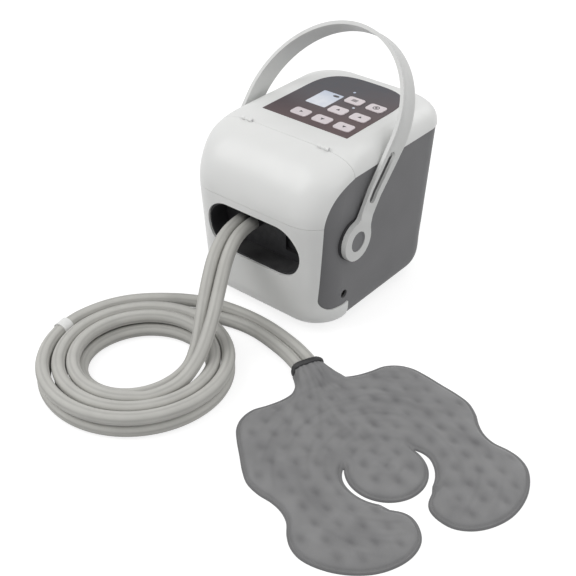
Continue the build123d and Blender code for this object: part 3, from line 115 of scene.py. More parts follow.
@dataclass
class Nodes:
    """A node tree with short ways to add nodes and join them."""

    tree: bpy.types.NodeTree

    def feed(self, node: Node, values: dict) -> None:
        """Fills a node's inputs.

        Args:
            node: The node.
            values: Inputs by name or number. A socket is linked and anything else is set.
        """
        for key, value in values.items():
            if isinstance(value, Socket):
                self.tree.links.new(value, node.inputs[key])
            else:
                node.inputs[key].default_value = value

    def add(self, kind: str, values: dict | None = None, **settings: object) -> Node:
        """Adds a node.

        Args:
            kind: Blender's name of the node type.
            values: Its inputs, as feed takes them.
            **settings: Properties of the node.

        Returns:
            The new node.
        """
        node = self.tree.nodes.new(kind)
        for key, value in settings.items():
            setattr(node, key, value)
        self.feed(node, values or {})
        return node

    def place(self) -> Socket:
        """Coordinates fixed to the piece, in metres."""
        return self.add("ShaderNodeTexCoord").outputs["Object"]

    def carried(self, name: str) -> Socket:
        """A number that the mesh carries at its points."""
        return self.add("ShaderNodeAttribute", attribute_name=name).outputs["Fac"]

    def speckle(self, scale: object, detail: float) -> Socket:
        """Value noise around one half, with lumps per metre as its scale and octaves as its detail."""
        values = {"Vector": self.place(), "Scale": scale, "Detail": detail}
        return self.add("ShaderNodeTexNoise", values).outputs[0]

    def bands(self, direction: str, values: dict) -> Socket:
        """Even bands across an axis, with the wave node's own values."""
        settings = {"wave_type": "BANDS", "bands_direction": direction}
        return self.add("ShaderNodeTexWave", {"Vector": self.place(), **values}, **settings).outputs["Fac"]

    def math(self, operation: str, first: object, second: object) -> Socket:
        """One arithmetic step on two values or sockets."""
        return self.add("ShaderNodeMath", {0: first, 1: second}, operation=operation).outputs[0]

    def remap(self, value: Socket, low: float, high: float, bottom: float = 0.0, top: float = 1.0) -> Socket:
        """Maps low to bottom and high to top, and holds the value between them."""
        values = {"Value": value, "From Min": low, "From Max": high, "To Min": bottom, "To Max": top}
        return self.add("ShaderNodeMapRange", values).outputs[0]

    def tint(self, amount: Socket, first: object, second: object) -> Socket:
        """Mixes two colours by the share of the second one."""
        return self.add("ShaderNodeMix", {0: amount, 6: first, 7: second}, data_type="RGBA").outputs[2]

    def bump(self, height: Socket, depth: float) -> Socket:
        """Normal of a bump whose height of 1 is a depth in metres."""
        return self.add("ShaderNodeBump", {"Height": height, "Strength": 1.0, "Distance": depth}).outputs[0]

    def seen(self) -> Socket:
        """Tells how a surface is seen.

        Returns:
            1 for rays that come straight from the eye, or by a mirror or through glass, and else 0.
        """
        rays = self.add("ShaderNodeLightPath").outputs
        straight = self.math("MAXIMUM", rays["Is Camera Ray"], rays["Is Glossy Ray"])
        return self.math("MAXIMUM", straight, rays["Is Transmission Ray"])


class Effect(Enum):
    """Surface effects that several finishes share."""

    MOTTLE = "mottled tint"
    RUB = "rubbed edges"
    GRAIN = "fine grain"
    DUST = "settled dust"


@dataclass
class Effects:
    """The shared effects as shader node groups, each made once. Scales are lumps per metre."""

    cloud_detail: float = 3.0
    cloud_range: Spot = (0.35, 0.68)
    rub_scale: float = 160.0
    rub_detail: float = 4.0
    rub_breaks: Spot = (0.38, 0.62)
    rub_edges: Spot = (0.52, 0.6)
    grain_detail: float = 3.0
    wave_scale: float = 0.06
    wave_detail: float = 1.0
    wave_share: float = 0.8
    dust_scale: float = 45.0
    dust_detail: float = 5.0
    dust_patches: Spot = (0.3, 0.7)
    dust_slopes: Spot = (0.3, 0.95)
    dust_color: Color = (0.70, 0.69, 0.66)
    groups: dict[Effect, bpy.types.NodeTree] = field(default_factory=dict)
    COLOR = "NodeSocketColor"
    NUMBER = "NodeSocketFloat"

    def build(self) -> None:
        """Makes every group."""
        self._mottle()
        self._rub()
        self._grain()
        self._dust()

    def use(self, nodes: Nodes, effect: Effect, values: dict) -> Node:
        """Places a group in a material and fills its inputs."""
        return nodes.add("ShaderNodeGroup", values, node_tree=self.groups[effect])

    def mottled(
        self, nodes: Nodes, color: object, shade: Color, patches: float, amount: float,
        roughness: float, spread: float,
    ) -> tuple[Socket, Socket]:
        """Places the mottled tint.

        Args:
            nodes: The material's nodes.
            color: Main colour with its opacity, or a socket.
            shade: Colour of the clouds.
            patches: Clouds per metre.
            amount: How strong they are.
            roughness: Middle roughness.
            spread: How far the roughness changes.

        Returns:
            The colour and the roughness.
        """
        outputs = self.use(nodes, Effect.MOTTLE, {
            "Color": color, "Shade": opaque(shade), "Patches": patches,
            "Amount": amount, "Roughness": roughness, "Spread": spread,
        }).outputs
        return outputs["Color"], outputs["Roughness"]

    def dusted(self, nodes: Nodes, color: Socket, amount: float) -> Socket:
        """The colour under a share of settled dust."""
        values = {"Color": color, "Dust": opaque(self.dust_color), "Amount": amount}
        return self.use(nodes, Effect.DUST, values).outputs["Color"]

    def grain(self, nodes: Nodes, grains: float) -> Socket:
        """Height of a fine grain with so many grains per metre."""
        return self.use(nodes, Effect.GRAIN, {"Grains": grains}).outputs["Height"]

    def _open(
        self, effect: Effect, colors: tuple[str, ...], numbers: tuple[str, ...], results: dict[str, str]
    ) -> tuple[Nodes, bpy.types.bpy_prop_collection, Node]:
        """Starts a group with its sockets.

        Args:
            effect: The effect that it makes.
            colors: Names of its colour inputs.
            numbers: Names of its number inputs.
            results: Its outputs, name to socket type.

        Returns:
            The group's nodes, what it is given and the node that takes its results.
        """
        tree = bpy.data.node_groups.new(effect.value, "ShaderNodeTree")
        self.groups[effect] = tree
        sockets = [(name, "INPUT", self.COLOR) for name in colors]
        sockets += [(name, "INPUT", self.NUMBER) for name in numbers]
        sockets += [(name, "OUTPUT", kind) for name, kind in results.items()]
        for name, way, kind in sockets:
            tree.interface.new_socket(name=name, in_out=way, socket_type=kind)
        nodes = Nodes(tree)
        return nodes, nodes.add("NodeGroupInput").outputs, nodes.add("NodeGroupOutput")

    def _mottle(self) -> None:
        """Makes the cloudy change of colour and roughness."""
        numbers = ("Patches", "Amount", "Roughness", "Spread")
        results = {"Color": self.COLOR, "Roughness": self.NUMBER}
        nodes, given, result = self._open(Effect.MOTTLE, ("Color", "Shade"), numbers, results)
        cloud = nodes.speckle(given["Patches"], self.cloud_detail)
        mask = nodes.math("MULTIPLY", nodes.remap(cloud, *self.cloud_range), given["Amount"])
        swing = nodes.math("MULTIPLY", nodes.math("SUBTRACT", cloud, 0.5), given["Spread"])
        nodes.feed(result, {
            "Color": nodes.tint(mask, given["Color"], given["Shade"]),
            "Roughness": nodes.math("ADD", given["Roughness"], swing),
        })

    def _rub(self) -> None:
        """Makes the paler colour of convex edges that hands rub."""
        nodes, given, result = self._open(Effect.RUB, ("Color", "Rubbed"), ("Amount",), {"Color": self.COLOR})
        sharpness = nodes.add("ShaderNodeNewGeometry").outputs["Pointiness"]
        broken = nodes.remap(nodes.speckle(self.rub_scale, self.rub_detail), *self.rub_breaks)
        edge = nodes.math("MULTIPLY", nodes.remap(sharpness, *self.rub_edges), broken)
        mask = nodes.math("MULTIPLY", edge, given["Amount"])
        nodes.feed(result, {"Color": nodes.tint(mask, given["Color"], given["Rubbed"])})

    def _grain(self) -> None:
        """Makes the height of a fine spark-eroded grain with a softer wave under it."""
        nodes, given, result = self._open(Effect.GRAIN, (), ("Grains",), {"Height": self.NUMBER})
        fine = nodes.speckle(given["Grains"], self.grain_detail)
        wave = nodes.speckle(nodes.math("MULTIPLY", given["Grains"], self.wave_scale), self.wave_detail)
        height = nodes.math("ADD", fine, nodes.math("MULTIPLY", wave, self.wave_share))
        nodes.feed(result, {"Height": height})

    def _dust(self) -> None:
        """Makes the thin dust on what faces up."""
        nodes, given, result = self._open(Effect.DUST, ("Color", "Dust"), ("Amount",), {"Color": self.COLOR})
        facing = nodes.add("ShaderNodeNewGeometry").outputs["Normal"]
        upward = nodes.add("ShaderNodeSeparateXYZ", {0: facing}).outputs[2]
        patches = nodes.remap(nodes.speckle(self.dust_scale, self.dust_detail), *self.dust_patches)
        settled = nodes.math("MULTIPLY", nodes.remap(upward, *self.dust_slopes), patches)
        mask = nodes.math("MULTIPLY", settled, given["Amount"])
        nodes.feed(result, {"Color": nodes.tint(mask, given["Color"], given["Dust"])})


def start_material(name: str) -> tuple[Material, Nodes, Node]:
    """Makes an empty material.

    Args:
        name: The material's name.

    Returns:
        The material, its nodes and its Principled shader.
    """
    material = bpy.data.materials.new(name)
    material.use_nodes = True
    tree = material.node_tree
    return material, Nodes(tree), tree.nodes["Principled BSDF"]


@dataclass(frozen=True)
class Finish:
    """A finish, which fills the inputs of its material's shader."""

    name: str

    def material(self, effects: Effects) -> Material:
        """Builds the material.

        Args:
            effects: The shared effects.

        Returns:
            The material.
        """
        material, nodes, shader = start_material(self.name)
        nodes.feed(shader, self.surface(nodes, effects))
        return material

    def surface(self, nodes: Nodes, effects: Effects) -> dict:
        """What the shader's inputs get, by their names."""
        raise NotImplementedError


@dataclass(frozen=True)
class Moulding(Finish):
    """Moulded plastic or rubber: grain, faint mottling, rubbed edges and a little dust."""

    color: Color
    rubbed: Color
    roughness: float = 0.5
    spread: float = 0.12
    patches: float = 22.0
    shading: float = 0.9
    grains: float = 1500.0
    depth: float = 0.03 * MM
    mottle: float = 0.35
    rub: float = 0.3
    dust: float = 0.05
    coat: float = 0.0
    coat_roughness: float = 0.25
    through: float = 0.0
    through_depth: float = 4 * MM

    def surface(self, nodes: Nodes, effects: Effects) -> dict:
        """Mottled plastic with rubbed edges under dust.

        Args:
            nodes: The material's nodes.
            effects: The shared effects.

        Returns:
            What the shader's inputs get.
        """
        shade = tuple(self.shading * value for value in self.color)
        color, roughness = effects.mottled(
            nodes, opaque(self.color), shade, self.patches, self.mottle, self.roughness, self.spread
        )
        values = {"Color": color, "Rubbed": opaque(self.rubbed), "Amount": self.rub}
        rubbed = effects.use(nodes, Effect.RUB, values).outputs["Color"]
        return {
            "Base Color": effects.dusted(nodes, rubbed, self.dust),
            "Roughness": roughness,
            "Coat Weight": self.coat,
            "Coat Roughness": self.coat_roughness,
            "Subsurface Weight": self.through,
            "Subsurface Radius": (self.through_depth,) * 3,
            "Normal": nodes.bump(effects.grain(nodes, self.grains), self.depth),
        }


@dataclass(frozen=True)
class HoseSleeve(Finish):
    """Soft sleeve with fine lengthwise ribs and painted shade in its grooves."""

    name: str = "hose_sleeve"
    color: Color = (0.52, 0.515, 0.485)
    shade: Color = (0.44, 0.435, 0.41)
    # groove is the painted shade, a darker tone in the grooves between the ribs; streaks break it up
    groove: Color = (0.36, 0.355, 0.335)
    streaks: float = 25.0
    streak_shares: Spot = (0.55, 1.0)

    def surface(self, nodes: Nodes, effects: Effects) -> dict:
        """Mottled foam with painted shade along its grooves, broken into streaks.

        Args:
            nodes: The material's nodes.
            effects: The shared effects.

        Returns:
            What the shader's inputs get.
        """
        color, roughness = effects.mottled(
            nodes, opaque(self.color), self.shade, patches=30.0, amount=0.5, roughness=0.62, spread=0.16
        )
        groove = nodes.carried(TubeSkin.GROOVE)
        broken = nodes.remap(nodes.speckle(self.streaks, 1.0), 0.3, 0.7, *self.streak_shares)
        # painted shade: the grooves are tinted towards the darker groove colour, broken by noise
        color = nodes.tint(nodes.math("MULTIPLY", groove, broken), color, opaque(self.groove))
        return {
            "Base Color": effects.dusted(nodes, color, 0.12),
            "Roughness": roughness,
            "Sheen Weight": 0.15,
            "Normal": nodes.bump(effects.grain(nodes, 900.0), 0.08 * MM),
        }


@dataclass(frozen=True)
class WeldedFabric(Finish):
    """Coated woven nylon, with painted shade in its weld dimples, its pleats and along its welded edge, and
    dark streaks.
    """

    name: str = "welded_fabric"
    color: Color = (0.222, 0.222, 0.225)
    shade: Color = (0.176, 0.176, 0.179)
    # tone of the painted shade in dimples, pleats and along the edge, and of the dark streaks
    painted_shade_and_streak_tone: Color = (0.098, 0.098, 0.102)
    gap: Color = (0.08, 0.08, 0.083)
    gap_share: float = 0.16
    thread_scale: float = 1100 / 6

    def surface(self, nodes: Nodes, effects: Effects) -> dict:
        """Mottled fabric with painted shade in its welds, dark streaks and a weave.

        Args:
            nodes: The material's nodes.
            effects: The shared effects.

        Returns:
            What the shader's inputs get.
        """
        color, roughness = effects.mottled(
            nodes, opaque(self.color), self.shade, patches=40.0, amount=0.6, roughness=0.68, spread=0.14
        )
        # painted shade: the pad's shade and streak mask tints the fabric towards the darker tone
        color = nodes.tint(nodes.carried(ColdPad.PAINTED_SHADE_AND_STREAKS), color, opaque(self.painted_shade_and_streak_tone))
        thread = {"Scale": self.thread_scale, "Distortion": 0.6, "Detail": 1.0, "Detail Scale": 2.0}
        weave = nodes.math("MAXIMUM", *[nodes.bands(direction, thread) for direction in ("X", "Y")])
        color = nodes.tint(nodes.remap(weave, 0.0, 1.0, self.gap_share, 0.0), color, opaque(self.gap))
        return {
            "Base Color": effects.dusted(nodes, color, 0.04),
            "Roughness": roughness,
            "Sheen Weight": 0.25,
            "Normal": nodes.bump(weave, 0.12 * MM),
        }


@dataclass(frozen=True)
class PrintedFilm(Finish):
    """Dark printed film over the panel: brown towards its near right, with a painted bluish reflection at its
    far left.
    """

    name: str = "panel_film_print"
    near: Color = (0.105, 0.068, 0.070)
    # far is a painted reflection, the bluish tone that stands in for the film's sheen at its far left
    far: Color = (0.040, 0.042, 0.055)
    shade: Color = (0.08, 0.06, 0.065)
    slant: float = 0.6
    fade: Spot = (-10 * MM, 95 * MM)

    def surface(self, nodes: Nodes, effects: Effects) -> dict:
        """Glossy film that fades from its brown print to a painted bluish reflection, corner to corner.

        Args:
            nodes: The material's nodes.
            effects: The shared effects.

        Returns:
            What the shader's inputs get.
        """
        parts = nodes.add("ShaderNodeSeparateXYZ", {0: nodes.place()}).outputs
        slope = nodes.math("SUBTRACT", parts[1], nodes.math("MULTIPLY", parts[0], self.slant))
        # painted reflection: the brown print fades to the bluish far colour towards the far left
        color = nodes.tint(nodes.remap(slope, *self.fade), opaque(self.near), opaque(self.far))
        color, roughness = effects.mottled(
            nodes, color, self.shade, patches=90.0, amount=0.35, roughness=0.42, spread=0.12
        )
        return {
            "Base Color": color,
            "Roughness": roughness,
            "Coat Weight": 0.08,
            "Coat Roughness": 0.18,
            "Specular IOR Level": 0.3,
            "Normal": nodes.bump(effects.grain(nodes, 2600.0), 0.01 * MM),
        }


@dataclass(frozen=True)
class DisplayGlass(Finish):
    """Pale display behind a glossy window, bluer towards one side."""

    name: str = "display_glass"
    pale: Color = (0.74, 0.77, 0.84)
    blue: Color = (0.46, 0.53, 0.68)
    fade: Spot = (36 * MM, 64 * MM)

    def surface(self, nodes: Nodes, effects: Effects) -> dict:
        """Smooth glass over a display that turns bluer.

        Args:
            nodes: The material's nodes.
            effects: The shared effects.

        Returns:
            What the shader's inputs get.
        """
        parts = nodes.add("ShaderNodeSeparateXYZ", {0: nodes.place()}).outputs
        color = nodes.tint(nodes.remap(parts[1], *self.fade), opaque(self.pale), opaque(self.blue))
        color, roughness = effects.mottled(
            nodes, color, self.blue, patches=120.0, amount=0.25, roughness=0.14, spread=0.05
        )
        return {"Base Color": color, "Roughness": roughness, "Coat Weight": 0.8, "Coat Roughness": 0.05}


@dataclass(frozen=True)
class PlatedMetal(Finish):
    """Plated or painted metal with fine turning marks."""

    color: Color
    metallic: float
    roughness: float
    shading: float = 0.8
    marks: float = 900.0

    def surface(self, nodes: Nodes, effects: Effects) -> dict:
        """Metal with rings left by turning.

        Args:
            nodes: The material's nodes.
            effects: The shared effects.

        Returns:
            What the shader's inputs get.
        """
        rings = nodes.bands("Z", {"Scale": self.marks, "Distortion": 1.5, "Detail": 2.0})
        shade = tuple(self.shading * value for value in self.color)
        color, roughness = effects.mottled(
            nodes, opaque(self.color), shade, patches=140.0, amount=0.5, roughness=self.roughness, spread=0.2
        )
        return {
            "Base Color": color,
            "Roughness": roughness,
            "Metallic": self.metallic,
            "Normal": nodes.bump(rings, 0.01 * MM),
        }


@dataclass(frozen=True)
class FoamBlock(Finish):
    """Closed-cell foam with small cells open at the cut faces."""

    name: str = "cut_foam"
    color: Color = (0.80, 0.79, 0.74)
    shade: Color = (0.66, 0.65, 0.6)
    cells: float = 650.0

    def surface(self, nodes: Nodes, effects: Effects) -> dict:
        """Mottled foam with the relief of its cells.

        Args:
            nodes: The material's nodes.
            effects: The shared effects.

        Returns:
            What the shader's inputs get.
        """
        values = {"Vector": nodes.place(), "Scale": self.cells}
        cells = nodes.add("ShaderNodeTexVoronoi", values).outputs["Distance"]
        color, roughness = effects.mottled(
            nodes, opaque(self.color), self.shade, patches=200.0, amount=0.5, roughness=0.9, spread=0.1
        )
        return {"Base Color": color, "Roughness": roughness, "Normal": nodes.bump(cells, 0.4 * MM)}


@dataclass(frozen=True)
class CircuitBoard(Finish):
    """Green lacquered board with copper tracks that show through."""

    name: str = "lacquered_board"
    color: Color = (0.02, 0.16, 0.07)
    track: Color = (0.05, 0.27, 0.12)

    def surface(self, nodes: Nodes, effects: Effects) -> dict:
        """Lacquer over a net of tracks.

        Args:
            nodes: The material's nodes.
            effects: The shared effects.

        Returns:
            What the shader's inputs get.
        """
        lines = nodes.add("ShaderNodeTexBrick", {
            "Vector": nodes.place(), "Scale": 90.0, "Mortar Size": 0.06,
            "Color1": opaque(self.color), "Color2": opaque(self.color), "Mortar": opaque(self.track),
        }).outputs
        color, roughness = effects.mottled(
            nodes, lines["Color"], self.color, patches=60.0, amount=0.5, roughness=0.35, spread=0.1
        )
        return {"Base Color": color, "Roughness": roughness, "Normal": nodes.bump(lines["Fac"], 0.05 * MM)}


def add_object(name: str, mesh: Mesh, material: Material) -> Piece:
    """Puts a mesh in the scene under a name.

    Args:
        name: The object's name.
        mesh: Its mesh.
        material: The finish of all its faces.

    Returns:
        The object.
    """
    mesh.materials.append(material)
    item = bpy.data.objects.new(name, mesh)
    bpy.context.scene.collection.objects.link(item)
    return item


def carry(mesh: Mesh, name: str, values: list[float]) -> None:
    """Gives each point of a mesh a number that its finish reads."""
    mesh.attributes.new(name, "FLOAT", "POINT").data.foreach_set("value", values)


def weld_points(mesh: Mesh) -> None:
    """Joins points of a mesh that lie on each other.

    Args:
        mesh: The mesh, changed in place.
    """
    work = bmesh.new()
    work.from_mesh(mesh)
    bmesh.ops.remove_doubles(work, verts=work.verts, dist=0.01 * MM)
    work.to_mesh(mesh)
    work.free()


def rim_walls(faces: list[Face], count: int) -> list[Face]:
    """Quads that close the open edges between an upper skin and its copy below.

    Args:
        faces: Faces of the upper skin.
        count: Number of the upper skin's points, by which the lower ones are further on.

    Returns:
        One quad for each open edge.
    """
    seen = set()
    for face in faces:
        seen.update(zip(face, (*face[1:], face[0])))
    rim = [(start, end) for start, end in sorted(seen) if (end, start) not in seen]
    return [(end, start, start + count, end + count) for start, end in rim]


def closed_skin(name: str, upper: list[Vector], lower: list[Vector], faces: list[Face]) -> Mesh:
    """Mesh between two skins that have the same faces.

    Args:
        name: The mesh's name.
        upper: Points of the upper skin.
        lower: Points of the lower skin, in the same order.
        faces: Faces of the upper skin.

    Returns:
        The closed mesh.
    """
    count = len(upper)
    under = [tuple(count + index for index in reversed(face)) for face in faces]
    mesh = bpy.data.meshes.new(name)
    mesh.from_pydata([tuple(spot) for spot in upper + lower], [], [*faces, *under, *rim_walls(faces, count)])
    return mesh


def ring_quads(rings: int, around: int) -> list[Face]:
    """Quads between rings of points that lie one after another.

    Args:
        rings: Number of rings.
        around: Points on each of them.

    Returns:
        The quads, ring by ring.
    """
    faces = []
    for low in range(0, (rings - 1) * around, around):
        for step in range(around):
            after = (step + 1) % around
            faces.append((low + step, low + after, low + around + after, low + around + step))
    return faces


def clamp(share: float) -> float:
    """The share, held between 0 and 1."""
    return min(1.0, max(0.0, share))


def ease(share: float | np.ndarray) -> float | np.ndarray:
    """A rise from 0 to 1 that starts and ends level."""
    return share * share * (3 - 2 * share)


def wobble(x: float, y: float, layer: float) -> float:
    """Smooth noise between -1 and 1 in one layer of a pattern."""
    return noise.noise(Vector((x, y, layer)))


def polar(radius: float, angle: float) -> Spot:
    """The spot at a distance from the middle and an angle in radians."""
    return radius * math.cos(angle), radius * math.sin(angle)


def regular_loop(radius: float, corners: int, first: float = 0.0) -> Loop:
    """Corners of a regular figure about the middle, from an angle in radians."""
    return [polar(radius, first + 2 * math.pi * step / corners) for step in range(corners)]


def smooth_line(spots: Loop, pitch: float) -> Loop:
    """Points on a smooth line through the given spots.

    Args:
        spots: Spots that it passes through.
        pitch: Greatest distance between neighbours.

    Returns:
        Points along the line, the first spot among them and the last one too.
    """
    ends = [spots[0], *spots, spots[-1]]
    points = []
    for before, start, end, after in zip(ends, ends[1:], ends[2:], ends[3:]):
        count = max(1, math.ceil(math.dist(start, end) / pitch))
        for step in range(count):
            t = step / count
            points.append(tuple(
                b + 0.5 * t * (c - a + t * (2 * a - 5 * b + 4 * c - d + t * (3 * (b - c) + d - a)))
                for a, b, c, d in zip(before, start, end, after)
            ))
    return [*points, spots[-1]]


def line_between(start: Spot, end: Spot, pitch: float) -> Loop:
    """Points on a straight line, the first at start and none at end."""
    count = max(1, math.ceil(math.dist(start, end) / pitch))
    return [tuple(a + (b - a) * step / count for a, b in zip(start, end)) for step in range(count)]


def distances(spots: np.ndarray, outline: np.ndarray) -> np.ndarray:
    """Distance of each spot to the closed outline.

    Args:
        spots: Points, one a row.
        outline: Corners of the loop, one a row.

    Returns:
        One distance for each spot.
    """
    best = np.full(len(spots), np.inf)
    for start, end in zip(outline, np.roll(outline, -1, axis=0)):
        run = end - start
        share = np.clip(((spots - start) @ run) / (run @ run), 0, 1)
        best = np.minimum(best, np.linalg.norm(spots - start - share[:, None] * run, axis=1))
    return best


@dataclass
class TubeSkin:
    """Round sleeve with shallow lengthwise ribs along a line of points."""

    radius: float
    ribs: int = 6
    points_per_rib: int = 7
    rib_depth: float = 0.2 * MM
    groove_sharpness: int = 4
    GROOVE = "groove"

    def mesh(self, name: str, path: list[Vector]) -> Mesh:
        """Builds the sleeve.

        Args:
            name: The mesh's name.
            path: The points that it follows.

        Returns:
            A closed mesh with the depth of its grooves as an attribute.
        """
        around = self.ribs * self.points_per_rib
        angles = [2 * math.pi * step / around for step in range(around)]
        grooves = [(0.5 - 0.5 * math.cos(self.ribs * angle)) ** self.groove_sharpness for angle in angles]
        headings = self._headings(path)
        side = headings[0].orthogonal().normalized()
        vertices = []
        for spot, heading in zip(path, headings):
            side = (side - heading * side.dot(heading)).normalized()
            other = heading.cross(side)
            for angle, groove in zip(angles, grooves):
                reach = self.radius - self.rib_depth * groove
                vertices.append(tuple(spot + reach * (math.cos(angle) * side + math.sin(angle) * other)))
        ends = [tuple(reversed(range(around))), tuple(range(len(vertices) - around, len(vertices)))]
        mesh = bpy.data.meshes.new(name)
        mesh.from_pydata(vertices, [], ring_quads(len(path), around) + ends)
        carry(mesh, self.GROOVE, grooves * len(path))
        mesh.shade_smooth()
        return mesh

    @staticmethod
    def _headings(path: list[Vector]) -> list[Vector]:
        """Direction of the path at each of its points."""
        ends = [path[0], *path, path[-1]]
        return [(after - before).normalized() for before, after in zip(ends, ends[2:])]


@dataclass
class Hose:
    """One hose: down from its port, round the coil and out to the pad. Sizes in millimetres."""

    name: str
    drop: tuple[Point, ...]
    turns: tuple[Spot, ...]
    lead: tuple[Point, ...]
    pad_side: int
    length: float
    start_angle: float = 0.0
    coil_middle: Spot = (-28.0, -288.0)
    exit_radius: float = 115.0
    exit_angle: float = 129.7
    exit_steps: int = 5
    straight_start: float = 16.0
    last_run: float = 12.0
    diameter: float = 15.6
    steps: int = 12
    spline_resolution: int = 4

    def build(self, material: Material, pad: "ColdPad", with_pieces: list[str]) -> Piece:
        """Args:
            material: The sleeve's finish.
            pad: The pad that it runs to.
            with_pieces: CAD nodes that hold it; not used.

        Returns:
            The hose.
        """
        path = self._spline_points(self.route(pad))
        mesh = TubeSkin(radius=self.diameter * MM / 2).mesh(self.name, path)
        hose = add_object(self.name, mesh, material)
        side = self.name.split("_")[0]
        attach(hose, MACHINE)
        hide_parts(f"{side}_drop", f"{side}_coil", f"{side}_lead")
        return hose

    def route(self, pad: "ColdPad") -> list[Vector]:
        """Finds the hose's control points.

        Args:
            pad: The pad that it runs to.

        Returns:
            Points from the port to the pad, in metres.
        """
        coil = self._coil()
        start_heading = (coil[1] - coil[0]).normalized()
        swing = math.radians(self.exit_angle)
        out = Vector((math.sin(swing), -math.cos(swing), 0.0))
        points = [Vector(point) for point in self.drop]
        if self.start_angle:
            points.append(coil[0] - self.last_run * start_heading)
        points += coil
        points.append(coil[-1] + self.straight_start * out)
        points += [Vector(point) for point in self.lead]
        points += pad.hose_end(self.pad_side)
        return [MM * point for point in points]

    def _coil(self) -> list[Vector]:
        """Lays the coil's half turns, then the arc that leaves it.

        Returns:
            Control points, a little outside the turns, because the spline cuts their corners.
        """
        middle_x, middle_y = self.coil_middle
        ends = [
            Vector((middle_x + (1 if index % 2 == 0 else -1) * radius, middle_y, level))
            for index, (radius, level) in enumerate(self.turns)
        ]
        points = []
        bulge = 1 / math.cos(math.pi / self.steps / 2)
        for index, (start, end) in enumerate(zip(ends, ends[1:])):
            middle = (start + end) / 2
            reach = (end - start).length / 2
            way = -1 if index % 2 == 0 else 1
            for step in range(self.steps + (index == len(ends) - 2)):
                swing = math.pi * step / self.steps
                if index == 0 and swing < math.radians(self.start_angle):
                    continue
                along = bulge * math.cos(swing) * (start - middle)
                across = Vector((0.0, bulge * way * reach * math.sin(swing), 0.0))
                points.append(middle + along + across)
        radius, level = self.turns[-1]
        exit_middle = Vector((middle_x - radius + self.exit_radius, middle_y, level))
        for step in range(1, self.exit_steps + 1):
            swing = math.radians(180 + (self.exit_angle - 180) * step / self.exit_steps)
            points.append(exit_middle + self.exit_radius * Vector((math.cos(swing), math.sin(swing), 0.0)))
        return points

    def _spline_points(self, route: list[Vector]) -> list[Vector]:
        """Reads points from the route's own smooth spline.

        Args:
            route: The spline's control points, in metres.

        Returns:
            Points on the spline.
        """
        curve = bpy.data.curves.new(f"{self.name}_line", "CURVE")
        curve.dimensions = "3D"
        curve.resolution_u = self.spline_resolution
        spline = curve.splines.new("NURBS")
        spline.points.add(len(route) - 1)
        for point, place in zip(spline.points, route):
            point.co = (*place, 1.0)
        spline.order_u = 3
        spline.use_endpoint_u = True
        carrier = bpy.data.objects.new(f"{self.name}_line", curve)
        line = bpy.data.meshes.new_from_object(carrier)
        points = [vertex.co.copy() for vertex in line.vertices]
        bpy.data.objects.remove(carrier)
        bpy.data.curves.remove(curve)
        bpy.data.meshes.remove(line)
        return points


